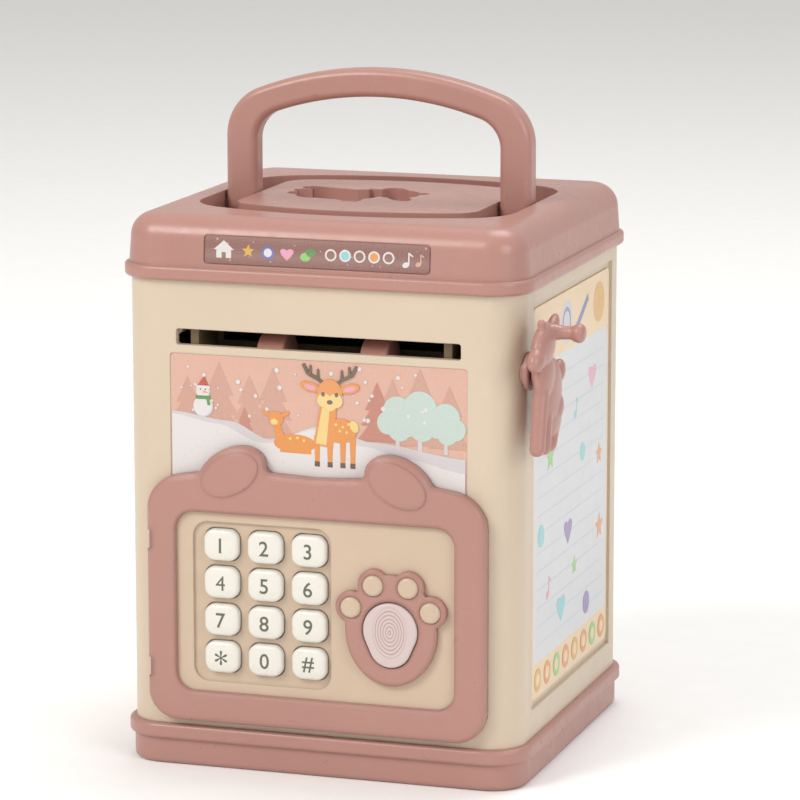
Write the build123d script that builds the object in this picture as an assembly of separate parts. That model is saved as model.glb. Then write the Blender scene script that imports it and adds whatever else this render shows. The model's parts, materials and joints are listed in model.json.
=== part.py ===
from build123d import *
import os
from math import atan2, cos, degrees, radians, sin, sqrt, tan

# Toy cash machine savings bank: a square case of two shells between a base tray and a lid.
# +Z is up, the front faces -Y, the crank is on the +X side, the origin is under the middle of the base.
# Millimetres.

# ---- case
BODY_W = 116.0          # case width, X
BODY_D = 112.0          # case depth, Y
BODY_R = 10.0           # upright corners
WALL = 2.4
FRONT = -BODY_D / 2
REAR = BODY_D / 2
SIDE = BODY_W / 2
BASE_TOP = 12.0
BODY_TOP = 140.0
SEAM_Y = -41.4          # front shell meets rear shell
PANEL_SINK = 1.0        # how far the side panels are let in
PANEL_Y = (-40.2, 42.0)
PANEL_Z = (20.0, 136.0)
POST_X, POST_Y, POST_R, POST_TOP = 51.0, 49.0, 4.0, 30.0
EAR_T = 2.5             # top corner ears that take the lid screws
EAR_SIZE = 15.0

# ---- base tray
BASE_LIP_OUT = 2.0
BASE_LIP_Z = 7.6
BASE_PLINTH_OUT = 0.6
BASE_FLOOR = 2.6
BASE_WALL = 3.4
RIB_T, RIB_H = 1.6, 3.0  # locating rib inside the case walls

# ---- lid
LID_LIP_OUT = 2.0
LID_LIP_TOP = 144.0
LID_WALL_OUT = 0.8
LID_TOP = 158.0
LID_DRAFT = 4.0
LID_FILLET = 7.0
LID_WALL = 2.4
LID_CAVITY_TOP = 147.2
LID_RIM_POCKET_TOP = 153.2
PLATEAU_POCKET_TOP = 152.4
LID_BOSS_R = 3.6

# ---- carrying handle
PIVOT_Z = 154.0
HANDLE_HALF = 46.0
HANDLE_REACH = 41.0     # pivot to the top of the arch
HANDLE_BAND = 9.3       # leg width
HANDLE_CROWN_BAND = 8.2
HANDLE_T = 8.0
HANDLE_OUTER_CROWN_R = 102.0
HANDLE_INNER_CROWN_R = 94.0
HANDLE_OUTER_CORNER = 15.0
HANDLE_INNER_CORNER = 9.0
HANDLE_EDGE = 2.2
TRUNNION_R, TRUNNION_L = 1.8, 3.4
RUNNING = 0.05          # radial running clearance
TRACK_GAP = 0.7
TRACK_DEPTH = 8.5

# ---- coin slot and crank store in the lid
STORE_X = -5.0
STORE_DEPTH = 3.5
STORE_GAP = 0.5
COIN_W, COIN_L = 4.6, 27.0
CHUTE_WALL, CHUTE_BOTTOM = 1.5, 137.0

# ---- banknote slot and feed rollers
SLOT_HALF, SLOT_Z, SLOT_H = 41.75, 124.0, 4.6
AXLE_Y, AXLE_Z, AXLE_R = -46.2, 118.0, 1.6
FEED_R, FEED_W, FEED_X = 7.0, 8.0, 15.2
PINCH_R, PINCH_AXLE_R, NIP_GAP = 4.0, 1.5, 0.15
PINCH_Z = AXLE_Z + FEED_R + PINCH_R + NIP_GAP
CARRIER_HALF, CARRIER_T = 38.4, 2.4
CARRIER_Z = (111.0, 134.0)
CARRIER_BACK_Y = -35.2
CARRIER_BOSS_X, CARRIER_BOSS_Z, CARRIER_BOSS_R = 44.0, 126.5, 3.0
CARRIER_EAR_HALF_Z, CARRIER_EAR_X = 4.5, 48.0
NOTE_WINDOW_HALF = 3.6

# ---- crank
SOCKET_R, SOCKET_X0, SOCKET_X1 = 3.2, 44.6, 57.4
SQUARE, SQUARE_GAP = 3.6, 0.1
SOCKET_DEPTH_X = 50.4
BUSH_R, BUSH_FLANGE_R, BUSH_FLANGE_T, BUSH_TAIL = 4.4, 5.4, 1.6, 2.0
CRANK_X0, CRANK_T = 61.2, 5.6
CRANK_COLLAR_R = 4.4
CRANK_EDGE = 0.9
KNOB_U, KNOB_V = -2.4, 11.8
KNOB_R, KNOB_L, KNOB_HEAD_R, KNOB_HEAD_L = 2.1, 8.4, 2.9, 3.2
# the fawn's rounded masses: middle U and V, half length, half width, tilt
CRANK_OVALS = (
    (-5.4, 8.4, 8.2, 6.2, 22),      # head
    (-12.4, 5.4, 4.4, 3.4, 24),     # muzzle
    (3.4, 12.0, 5.2, 2.4, 38),      # ear
    (-4.6, 0.0, 8.0, 6.8, 78),      # neck
    (0.6, -6.6, 11.0, 9.0, 74),     # body
    (1.6, -13.4, 7.4, 5.8, 0),      # haunch
    (9.4, -1.4, 4.2, 2.6, 52),      # tail
)
# its limbs: from U and V to U and V, width
CRANK_LIMBS = (
    (-6.8, 12.0, -7.6, 15.6, 2.6),  # horn bud
    (-7.4, -4.0, -11.0, -19.6, 4.6),
    (-3.6, -8.0, -5.2, -20.2, 4.6),
    (3.0, -16.0, 0.4, -20.2, 4.8),
)

# ---- stickers and card
PICTURE_HALF, PICTURE_Z = 43.3, (82.0, 119.0)
PICTURE_R = 1.0
STICKER_T, STICKER_SINK, STICKER_PLAY = 0.3, 0.4, 0.3
LABEL_HALF, LABEL_Z, LABEL_R = 32.8, (145.4, 153.0), 1.2
CARD_Y, CARD_Z, CARD_T, CARD_R = (-38.8, 40.6), (22.0, 134.0), 0.5, 2.0

# ---- door
DOOR_GAP = 0.3          # air between the door frame and the case
DOOR_T = 3.6
DOOR_HALF = 50.0
DOOR_Z0 = 14.0
DOOR_SHOULDER_Z = 86.0
DOOR_BROW_Z = 86.4      # dip of the head line between the ears
DOOR_LOW_R, DOOR_HIGH_R = 9.0, 11.0
EAR_U, EAR_V = 24.6, 86.2
EAR_LONG, EAR_SHORT, EAR_TILT = 10.6, 7.2, 28.0
EAR_RAISE, EAR_ROOT_R = 0.4, 2.0
DOOR_EDGE = 1.4
HINGE_X = -DOOR_HALF + DOOR_T / 2
HINGE_Y = FRONT - DOOR_GAP - DOOR_T / 2
HINGE_PIN_R, HINGE_BITE = 0.6, 4.0
KNUCKLE_R, KNUCKLE_SIDE_GAP = 1.05, 0.2
KNUCKLE_Z, KNUCKLE_H, KNUCKLE_GAP = (29.0, 66.0), 5.0, 0.3
DOOR_SWING = 110
DOORWAY_X, DOORWAY_Z, DOORWAY_R = (-42.6, 43.4), (21.6, 76.4), 5.0
PANEL_X, DOOR_PANEL_Z, PANEL_R = 41.2, (23.0, 75.0), 5.5
PANEL_DROP, PANEL_T = 1.2, 2.0
PANEL_FACE = FRONT - DOOR_GAP - DOOR_T + PANEL_DROP
BOX_WALL, BOX_BACK_Y, COVER_T = 1.8, -47.5, 2.0
BOX_BOSS_X, BOX_BOSS_Z, BOX_BOSS_R = 36.6, (27.6, 70.4), 2.6

# ---- keypad
KEY_X = (-27.5, -14.5, -1.5)
KEY_Z = (65.8, 55.0, 44.2, 33.4)
KEY_W, KEY_H, KEY_R, KEY_GAP = 10.2, 9.0, 3.0, 0.25
KEYPAD_X, KEYPAD_Z, KEYPAD_R, KEYPAD_SINK = (-36.2, 4.8), (26.0, 72.2), 4.5, 0.8
KEY_FACE = PANEL_FACE - 1.7
KEY_FLANGE, KEY_FLANGE_T, KEY_TRAVEL = 0.6, 0.8, 0.9
KEY_NAMES = (("1", "2", "3"), ("4", "5", "6"), ("7", "8", "9"), ("star", "0", "hash"))
DOME_R, MEMBRANE_T, BOARD_T = 2.0, 0.8, 1.6

# ---- paw and fingerprint pad
PAW_U = 22.8
PAW_RAISE = 1.8
TOES = ((-11.6, 51.0), (-5.1, 57.6), (5.1, 57.6), (11.6, 51.0))
TOE_R, TOE_LOBE_R, TOE_SINK, TOE_PROUD = 3.0, 4.6, 0.6, 0.9
PALM_V, PALM_HALF_U, PALM_HALF_V = 45.0, 13.4, 15.9
PAD_V, PAD_HALF_U, PAD_HALF_V, PAD_GAP = 43.8, 7.9, 9.2, 0.3
PAD_PROUD, PAD_TRAVEL = 0.7, 0.8

# ---- lock
LOCK_Y, LOCK_Z, BOLT_R, BOLT_HOLE_GAP = -49.6, 49.0, 1.4, 0.35
BOLT_X0, BOLT_X1 = 43.0, 53.2
COIL_X, COIL_HALF_Y, COIL_HALF_Z = (44.6, 52.2), 2.4, 5.0

# ---- battery box, board and speaker
CELL_R, CELL_L, CELL_PITCH, CELL_NUB_R, CELL_NUB_L = 7.1, 49.0, 14.8, 2.6, 1.2
CELL_MID_Y, CELL_Z = 25.0, 10.2
BAT_HALF_X, BAT_HALF_Y, BAT_WALL, BAT_TOP = 29.6, 24.2, 1.6, 19.2
COVER_HALF_X, COVER_HALF_Y, COVER_GAP = 29.0, 23.6, 0.25
COVER_Z = (0.6, 2.6)
CONTACT_T = 0.5
MAIN_X, MAIN_Z, MAIN_Y = (-46.0, 0.0), (103.0, 134.0), 51.2
SPEAKER_X, SPEAKER_Z, SPEAKER_R, SPEAKER_T = 26.0, 118.0, 16.0, 7.0
GRILLE_HOLE_R, GRILLE_RINGS = 0.9, ((0.0, 1), (4.2, 6), (8.4, 12))

# ---- screws
SCREW_R, SCREW_HEAD_R, SCREW_HEAD_H, SCREW_SLOT = 1.25, 2.4, 1.6, 0.8
SCREW_PLAY = 0.3        # a clearance hole's extra radius


def slab(width, depth, radius, z0, z1, taper=0.0):
    """An upright block with rounded corners, about the Z axis."""
    return Pos(0, 0, z0) * extrude(RectangleRounded(width, depth, radius), z1 - z0, taper=taper)


def box(x, y, z):
    """A box from three (low, high) pairs."""
    size = [high - low for low, high in (x, y, z)]
    middle = [(high + low) / 2 for low, high in (x, y, z)]
    return Pos(*middle) * Box(*size)


def front_plate(shape, y_front, thickness, x=0.0, z=0.0):
    """A flat outline in X and Z, made thickness deep, its front face at y_front."""
    plane = Plane(origin=(x, y_front, z), x_dir=(1, 0, 0), z_dir=(0, -1, 0))
    return extrude(plane * shape, -thickness)


def rounded_plate(x, z, radius, y_front, thickness):
    outline = RectangleRounded(x[1] - x[0], z[1] - z[0], radius)
    return front_plate(outline, y_front, thickness, (x[0] + x[1]) / 2, (z[0] + z[1]) / 2)


def rod_x(radius, x0, x1, y, z):
    return Pos((x0 + x1) / 2, y, z) * Rot(0, 90, 0) * Cylinder(radius, x1 - x0)


def rod_y(radius, y0, y1, x, z):
    return Pos(x, (y0 + y1) / 2, z) * Rot(90, 0, 0) * Cylinder(radius, y1 - y0)


def rod_z(radius, z0, z1, x, y):
    return Pos(x, y, (z0 + z1) / 2) * Cylinder(radius, z1 - z0)


def corners(x, y):
    return [(sx * x, sy * y) for sx in (-1, 1) for sy in (-1, 1)]


def screw(length):
    """A pan-head screw along Z: its shank goes up from 0, its head hangs below."""
    head = Pos(0, 0, -SCREW_HEAD_H / 2) * Cylinder(SCREW_HEAD_R, SCREW_HEAD_H)
    head = fillet(head.edges().group_by(Axis.Z)[0], SCREW_HEAD_H / 3)
    for turn in (0, 90):
        cross = Rot(0, 0, turn) * Box(SCREW_HEAD_R * 1.3, SCREW_SLOT, SCREW_HEAD_H)
        head -= Pos(0, 0, -SCREW_HEAD_H) * cross
    return head + Pos(0, 0, length / 2) * Cylinder(SCREW_R, length)


def write(name, shape):
    export_step(shape, f"parts/{name}.step")


# ---------------------------------------------------------------- case

def case_tube():
    outer = slab(BODY_W, BODY_D, BODY_R, BASE_TOP, BODY_TOP)
    inner = slab(BODY_W - 2 * WALL, BODY_D - 2 * WALL, BODY_R - WALL, BASE_TOP - 1, BODY_TOP + 1)
    return outer - inner


def shell_posts(y_sign):
    """The screw posts at the foot and the screw ears at the top of one shell."""
    inside = slab(BODY_W - WALL, BODY_D - WALL, BODY_R - WALL / 2, BASE_TOP, BODY_TOP)
    added = []
    for x in (-POST_X, POST_X):
        y = y_sign * POST_Y
        post = rod_z(POST_R, BASE_TOP, POST_TOP, x, y) - rod_z(SCREW_R, BASE_TOP - 1, POST_TOP - 4, x, y)
        sx = 1 if x > 0 else -1
        ear_x = sorted((sx * (SIDE - EAR_SIZE), sx * SIDE))
        ear_y = sorted((y_sign * (REAR - EAR_SIZE + 1), y_sign * REAR))
        ear = box(ear_x, ear_y, (BODY_TOP - EAR_T, BODY_TOP))
        ear -= rod_z(SCREW_R + SCREW_PLAY, BODY_TOP - 9, BODY_TOP + 1, x, y)
        added += [post & inside, ear & inside]
    return added


def make_front_shell():
    shell = case_tube() & box((-SIDE, SIDE), (FRONT, SEAM_Y), (BASE_TOP, BODY_TOP))
    for piece in shell_posts(-1):
        shell += piece
    for x in (-CARRIER_BOSS_X, CARRIER_BOSS_X):
        shell += rod_y(CARRIER_BOSS_R, FRONT + WALL / 2, CARRIER_BACK_Y - CARRIER_T, x, CARRIER_BOSS_Z)
        shell -= rod_y(SCREW_R, FRONT + WALL + 2, CARRIER_BACK_Y, x, CARRIER_BOSS_Z)
    slot_z = (SLOT_Z - SLOT_H / 2, SLOT_Z + SLOT_H / 2)
    shell -= rounded_plate((-SLOT_HALF, SLOT_HALF), slot_z, 0.8, FRONT - 1, WALL + 2)
    shell -= rounded_plate(DOORWAY_X, DOORWAY_Z, DOORWAY_R, FRONT - 1, WALL + 2)
    picture_x = (-PICTURE_HALF - STICKER_PLAY, PICTURE_HALF + STICKER_PLAY)
    picture_z = (PICTURE_Z[0] - STICKER_PLAY, PICTURE_Z[1] + STICKER_PLAY)
    shell -= rounded_plate(picture_x, picture_z, PICTURE_R, FRONT - 1, 1 + STICKER_SINK)
    shell -= rod_x(BUSH_R, SIDE - 2 * WALL, SIDE + 1, AXLE_Y, AXLE_Z)
    seat_z = (LOCK_Z - COIL_HALF_Z, LOCK_Z + COIL_HALF_Z)
    return shell + box((COIL_X[0], COIL_X[1] - 2), (FRONT + WALL / 2, LOCK_Y - COIL_HALF_Y), seat_z)


def make_rear_shell():
    shell = case_tube() & box((-SIDE, SIDE), (SEAM_Y, REAR), (BASE_TOP, BODY_TOP))
    for piece in shell_posts(1):
        shell += piece
    for sign in (-1, 1):
        x = sorted((sign * (SIDE - PANEL_SINK), sign * (SIDE + 1)))
        shell -= box(x, PANEL_Y, PANEL_Z)
    for radius, count in GRILLE_RINGS:
        for location in PolarLocations(radius, count):
            x, z = location.position.X, location.position.Y
            shell -= rod_y(GRILLE_HOLE_R, REAR - 2 * WALL, REAR + 1, SPEAKER_X + x, SPEAKER_Z + z)
    for x in (MAIN_X[0] + 4, MAIN_X[1] - 4):
        for z in (MAIN_Z[0] + 4, MAIN_Z[1] - 4):
            shell += rod_y(2.0, MAIN_Y + BOARD_T / 2, REAR - WALL / 2, x, z)
    return shell


# ---------------------------------------------------------------- base tray

def make_base_tray():
    lip_w, lip_d = BODY_W + 2 * BASE_LIP_OUT, BODY_D + 2 * BASE_LIP_OUT
    lip = slab(lip_w, lip_d, BODY_R + BASE_LIP_OUT, BASE_LIP_Z, BASE_TOP)
    lip = fillet(lip.edges().group_by(Axis.Z)[0] + lip.edges().group_by(Axis.Z)[-1], 1.1)
    plinth_w, plinth_d = BODY_W + 2 * BASE_PLINTH_OUT, BODY_D + 2 * BASE_PLINTH_OUT
    plinth = slab(plinth_w, plinth_d, BODY_R + BASE_PLINTH_OUT, 0, BASE_TOP - 1.5)
    plinth = fillet(plinth.edges().group_by(Axis.Z)[0], 1.6)
    tray = lip + plinth
    inner_w, inner_d = BODY_W - 2 * BASE_WALL, BODY_D - 2 * BASE_WALL
    tray -= slab(inner_w, inner_d, BODY_R - BASE_WALL, BASE_FLOOR, BASE_TOP + 1)
    rib_w, rib_d, rib_r = BODY_W - 2 * WALL - 0.3, BODY_D - 2 * WALL - 0.3, BODY_R - WALL - 0.2
    rib = slab(rib_w, rib_d, rib_r, BASE_TOP - 2, BASE_TOP + RIB_H)
    rib -= slab(rib_w - 2 * RIB_T, rib_d - 2 * RIB_T, rib_r - RIB_T, BASE_TOP - 3, BASE_TOP + RIB_H + 1)
    for x, y in corners(POST_X, POST_Y):
        rib -= rod_z(POST_R + 1.2, BASE_TOP, BASE_TOP + RIB_H + 1, x, y)
    for sign in (-1, 1):
        rib -= box((-SIDE, SIDE), (sign * SEAM_Y - 2, sign * SEAM_Y + 2), (BASE_TOP, BASE_TOP + RIB_H + 1))
    tray += rib
    for x, y in corners(POST_X, POST_Y):
        tray += rod_z(POST_R, BASE_FLOOR / 2, BASE_TOP, x, y)
        tray -= rod_z(SCREW_R + SCREW_PLAY, -1, BASE_TOP + 1, x, y)
        tray -= rod_z(SCREW_HEAD_R + 0.5, -1, BASE_TOP - 6, x, y)
    gap = COVER_GAP
    hatch_x = (-COVER_HALF_X - gap, COVER_HALF_X + gap)
    hatch_y = (CELL_MID_Y - COVER_HALF_Y - gap, CELL_MID_Y + COVER_HALF_Y + gap)
    return tray - box(hatch_x, hatch_y, (-1, BASE_FLOOR + 1))


# ---------------------------------------------------------------- handle and lid

def arch(half, reach, crown_r, corner, grow=0.0):
    """The outline from the pivot line up to a crowned top, as a face in X and Y."""
    half, reach, crown_r, corner = half + grow, reach + grow, crown_r + grow, corner + grow
    spring = reach - (crown_r - sqrt(crown_r ** 2 - half ** 2))
    sides = Polyline((-half, spring), (-half, 0), (half, 0), (half, spring))
    crown = ThreePointArc((half, spring), (0, reach), (-half, spring))
    face = make_face(sides + crown)
    return fillet(face.vertices().group_by(Axis.Y)[-1], corner)


def outer_arch(grow=0.0):
    return arch(HANDLE_HALF, HANDLE_REACH, HANDLE_OUTER_CROWN_R, HANDLE_OUTER_CORNER, grow)


def inner_arch(grow=0.0):
    half, reach = HANDLE_HALF - HANDLE_BAND, HANDLE_REACH - HANDLE_CROWN_BAND
    return arch(half, reach, HANDLE_INNER_CROWN_R, HANDLE_INNER_CORNER, grow)


def make_handle():
    upright = Plane(origin=(0, HANDLE_T / 2, PIVOT_Z), x_dir=(1, 0, 0), z_dir=(0, -1, 0))
    band = extrude(upright * (outer_arch() - inner_arch()), HANDLE_T)
    for sign in (-1, 1):
        x0, x1 = sorted((sign * (HANDLE_HALF - HANDLE_BAND), sign * HANDLE_HALF))
        band += rod_x(HANDLE_T / 2, x0, x1, 0, PIVOT_Z)
    rims = [e for e in band.edges() if abs(abs(e.center().Y) - HANDLE_T / 2) < 0.01]
    band = fillet([e for e in rims if e.center().Z > PIVOT_Z + 0.01], HANDLE_EDGE)
    for sign in (-1, 1):
        x0, x1 = sorted((sign * (HANDLE_HALF - 1), sign * (HANDLE_HALF + TRUNNION_L)))
        band += rod_x(TRUNNION_R, x0, x1, 0, PIVOT_Z)
    return band


def both_ways(face):
    return face + mirror(face, Plane.XZ)


def crank_outline(grow=0.0):
    """A sitting fawn seen from the side of the case: U across, V up, the axle at the origin."""
    shape = Circle(CRANK_COLLAR_R + grow)
    for u, v, half_long, half_wide, tilt in CRANK_OVALS:
        shape += Pos(u, v) * Rot(0, 0, tilt) * Ellipse(half_long + grow, half_wide + grow)
    for u0, v0, u1, v1, width in CRANK_LIMBS:
        run, rise = u1 - u0, v1 - v0
        turn = Rot(0, 0, degrees(atan2(rise, run)))
        slot = SlotCenterToCenter(sqrt(run ** 2 + rise ** 2), width + 2 * grow)
        shape += Pos((u0 + u1) / 2, (v0 + v1) / 2) * turn * slot
    return shape


def make_lid():
    lip_w, lip_d = BODY_W + 2 * LID_LIP_OUT, BODY_D + 2 * LID_LIP_OUT
    lip = slab(lip_w, lip_d, BODY_R + LID_LIP_OUT, BODY_TOP, LID_LIP_TOP)
    lip = fillet(lip.edges().group_by(Axis.Z)[0] + lip.edges().group_by(Axis.Z)[-1], 1.1)
    crown_w, crown_d = BODY_W + 2 * LID_WALL_OUT, BODY_D + 2 * LID_WALL_OUT
    crown = slab(crown_w, crown_d, BODY_R + LID_WALL_OUT, LID_LIP_TOP - 1.5, LID_TOP, LID_DRAFT)
    crown = fillet(crown.edges().group_by(Axis.Z)[-1], LID_FILLET)
    lid = lip + crown
    lid -= slab(BODY_W - 2 * WALL, BODY_D - 2 * WALL, BODY_R - WALL, BODY_TOP - 1, LID_CAVITY_TOP)
    # groove that the folded handle drops into, to either side
    track = both_ways(outer_arch(TRACK_GAP)) - both_ways(inner_arch(-TRACK_GAP))
    lid -= Pos(0, 0, LID_TOP - TRACK_DEPTH) * extrude(track, TRACK_DEPTH + 5)
    # hollow the rim and the plateau from below
    rim = RectangleRounded(BODY_W - 4 * LID_WALL, BODY_D - 4 * LID_WALL, BODY_R - LID_WALL)
    rim -= both_ways(outer_arch(TRACK_GAP + LID_WALL))
    rim -= Rectangle(BODY_W, 4 * LID_BOSS_R)
    lid -= Pos(0, 0, LID_CAVITY_TOP - 1) * extrude(rim, LID_RIM_POCKET_TOP - LID_CAVITY_TOP + 1)
    plateau = both_ways(inner_arch(-TRACK_GAP - LID_WALL))
    lid -= Pos(0, 0, LID_CAVITY_TOP - 1) * extrude(plateau, PLATEAU_POCKET_TOP - LID_CAVITY_TOP + 1)
    # trunnion bores
    for sign in (-1, 1):
        x0, x1 = sorted((sign * (HANDLE_HALF - 1), sign * (HANDLE_HALF + TRUNNION_L + 0.4)))
        lid -= rod_x(TRUNNION_R + RUNNING, x0, x1, 0, PIVOT_Z)
    # where the crank is kept, with the coin slot through its floor
    store = Pos(STORE_X, 0) * Rot(0, 0, -90) * crank_outline(STORE_GAP)
    lid -= Pos(0, 0, LID_TOP - STORE_DEPTH) * extrude(store, STORE_DEPTH + 1)
    way_x, way_y = (STORE_X - COIN_W / 2, STORE_X + COIN_W / 2), (-COIN_L / 2, COIN_L / 2)
    lid -= box(way_x, way_y, (BODY_TOP, LID_TOP + 1))
    for x, y in corners(POST_X, POST_Y):
        lid += rod_z(LID_BOSS_R, BODY_TOP, LID_RIM_POCKET_TOP + 0.5, x, y)
        lid -= rod_z(SCREW_R, BODY_TOP - 1, LID_RIM_POCKET_TOP - 3, x, y)
    return lid - label_block(STICKER_PLAY, -STICKER_SINK, 1.0)


def label_block(grow, near, far):
    """A thin block in the lid's sloping front wall, from near to far along its outward normal."""
    draft = radians(LID_DRAFT)
    z_mid = (LABEL_Z[0] + LABEL_Z[1]) / 2
    wall_y = FRONT - LID_WALL_OUT + (z_mid - LID_LIP_TOP + 1.5) * tan(draft)
    height = (LABEL_Z[1] - LABEL_Z[0]) / cos(draft)
    plane = Plane(origin=(0, wall_y, z_mid), x_dir=(1, 0, 0), z_dir=(0, -cos(draft), sin(draft)))
    outline = RectangleRounded(2 * (LABEL_HALF + grow), height + 2 * grow, LABEL_R)
    return extrude(plane.offset(near) * outline, far - near)


def make_coin_chute():
    outer_x, outer_y = COIN_W / 2 + CHUTE_WALL, COIN_L / 2 + CHUTE_WALL
    chute_z = (CHUTE_BOTTOM, PLATEAU_POCKET_TOP)
    chute = box((STORE_X - outer_x, STORE_X + outer_x), (-outer_y, outer_y), chute_z)
    way_x, way_y = (STORE_X - COIN_W / 2, STORE_X + COIN_W / 2), (-COIN_L / 2, COIN_L / 2)
    return chute - box(way_x, way_y, (CHUTE_BOTTOM - 1, LID_TOP))


# ---------------------------------------------------------------- feed rollers and crank

def make_roller_carrier():
    back = box((-CARRIER_HALF, CARRIER_HALF), (CARRIER_BACK_Y - CARRIER_T, CARRIER_BACK_Y), CARRIER_Z)
    carrier = back
    for sign in (-1, 1):
        x = sorted((sign * (CARRIER_HALF - CARRIER_T), sign * CARRIER_HALF))
        carrier += box(x, (FRONT + WALL + 0.4, CARRIER_BACK_Y), CARRIER_Z)
        ear_x = sorted((sign * (CARRIER_HALF - 1), sign * CARRIER_EAR_X))
        ear_z = (CARRIER_BOSS_Z - CARRIER_EAR_HALF_Z, CARRIER_BOSS_Z + CARRIER_EAR_HALF_Z)
        carrier += box(ear_x, (CARRIER_BACK_Y - CARRIER_T, CARRIER_BACK_Y), ear_z)
        hole_y = (CARRIER_BACK_Y - CARRIER_T - 1, CARRIER_BACK_Y + 1)
        carrier -= rod_y(SCREW_R + SCREW_PLAY, *hole_y, sign * CARRIER_BOSS_X, CARRIER_BOSS_Z)
    window_z = (SLOT_Z - NOTE_WINDOW_HALF, SLOT_Z + NOTE_WINDOW_HALF)
    window_x = (-CARRIER_HALF + 4, CARRIER_HALF - 4)
    carrier -= box(window_x, (CARRIER_BACK_Y - 3, CARRIER_BACK_Y + 1), window_z)
    carrier -= rod_x(AXLE_R + RUNNING, -SIDE, SIDE, AXLE_Y, AXLE_Z)
    carrier -= rod_x(PINCH_AXLE_R + RUNNING, -SIDE, SIDE, AXLE_Y, PINCH_Z)
    return carrier


def rollers(radius, bore, z):
    """The two rings of a roller pair, with a crowned tread."""
    made = []
    for sign in (-1, 1):
        x = sign * FEED_X
        ring = rod_x(radius, x - FEED_W / 2, x + FEED_W / 2, AXLE_Y, z)
        ring = fillet(ring.edges().filter_by(GeomType.CIRCLE), 0.6)
        made.append(ring - rod_x(bore, x - FEED_W, x + FEED_W, AXLE_Y, z))
    return Compound(children=made)


def make_drive_socket():
    hub = rod_x(SOCKET_R, SOCKET_X0, SOCKET_X1, AXLE_Y, AXLE_Z)
    hub -= rod_x(AXLE_R, SOCKET_X0 - 1, SOCKET_DEPTH_X, AXLE_Y, AXLE_Z)
    half = SQUARE / 2 + SQUARE_GAP
    square_y, square_z = (AXLE_Y - half, AXLE_Y + half), (AXLE_Z - half, AXLE_Z + half)
    return hub - box((SOCKET_DEPTH_X, SOCKET_X1 + 1), square_y, square_z)


def make_crank_bush():
    bush = rod_x(BUSH_R, SIDE - WALL - BUSH_TAIL, SIDE, AXLE_Y, AXLE_Z)
    flange = rod_x(BUSH_FLANGE_R, SIDE, SIDE + BUSH_FLANGE_T, AXLE_Y, AXLE_Z)
    flange = fillet(flange.edges().group_by(Axis.X)[-1], 0.7)
    return bush + flange - rod_x(SOCKET_R + RUNNING, SIDE - 10, SIDE + 10, AXLE_Y, AXLE_Z)


def make_crank():
    side = Plane(origin=(CRANK_X0, AXLE_Y, AXLE_Z), x_dir=(0, 1, 0), z_dir=(1, 0, 0))
    figure = extrude(side * crank_outline(), CRANK_T - CRANK_EDGE)
    figure += extrude(side * crank_outline(-CRANK_EDGE), CRANK_T)
    knob_y, knob_z = AXLE_Y + KNOB_U, AXLE_Z + KNOB_V
    head_x = CRANK_X0 + CRANK_T + KNOB_L
    knob = rod_x(KNOB_R, CRANK_X0 + CRANK_T - 1, head_x, knob_y, knob_z)
    head = rod_x(KNOB_HEAD_R, head_x - KNOB_HEAD_L / 2, head_x + KNOB_HEAD_L / 2, knob_y, knob_z)
    head = fillet(head.edges().filter_by(GeomType.CIRCLE), KNOB_HEAD_L * 0.4)
    collar = rod_x(CRANK_COLLAR_R, SIDE + BUSH_FLANGE_T + 0.3, CRANK_X0 + 0.5, AXLE_Y, AXLE_Z)
    half = SQUARE / 2
    peg_x = (SOCKET_DEPTH_X + 0.4, CRANK_X0 + 0.5)
    peg = box(peg_x, (AXLE_Y - half, AXLE_Y + half), (AXLE_Z - half, AXLE_Z + half))
    return figure + knob + head + collar + peg


# ---------------------------------------------------------------- door

def ear(sign, grow=0.0):
    return Pos(sign * EAR_U, EAR_V) * Rot(0, 0, sign * -EAR_TILT) * Ellipse(EAR_LONG + grow, EAR_SHORT + grow)


def door_outline():
    """The animal-head outline of the door, in X and Z."""
    side_z, crest_z = DOOR_SHOULDER_Z - 2.4, DOOR_SHOULDER_Z + 1.6
    head = make_face(Polyline((-DOOR_HALF, DOOR_Z0), (DOOR_HALF, DOOR_Z0), (DOOR_HALF, side_z),
                              (EAR_U, crest_z), (0, DOOR_BROW_Z), (-EAR_U, crest_z),
                              (-DOOR_HALF, side_z), close=True))
    head = fillet(head.vertices().group_by(Axis.Y)[0], DOOR_LOW_R)
    high = [v for v in head.vertices() if v.Y > DOOR_SHOULDER_Z - 3]
    head = fillet([v for v in high if abs(abs(v.X) - DOOR_HALF) < 0.01], DOOR_HIGH_R)
    head = head + ear(-1) + ear(1)
    roots = [v for v in head.vertices() if v.Y > DOOR_SHOULDER_Z - 2]
    return fillet([v for v in roots if abs(v.X) < DOOR_HALF - DOOR_HIGH_R + 3], EAR_ROOT_R)


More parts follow.
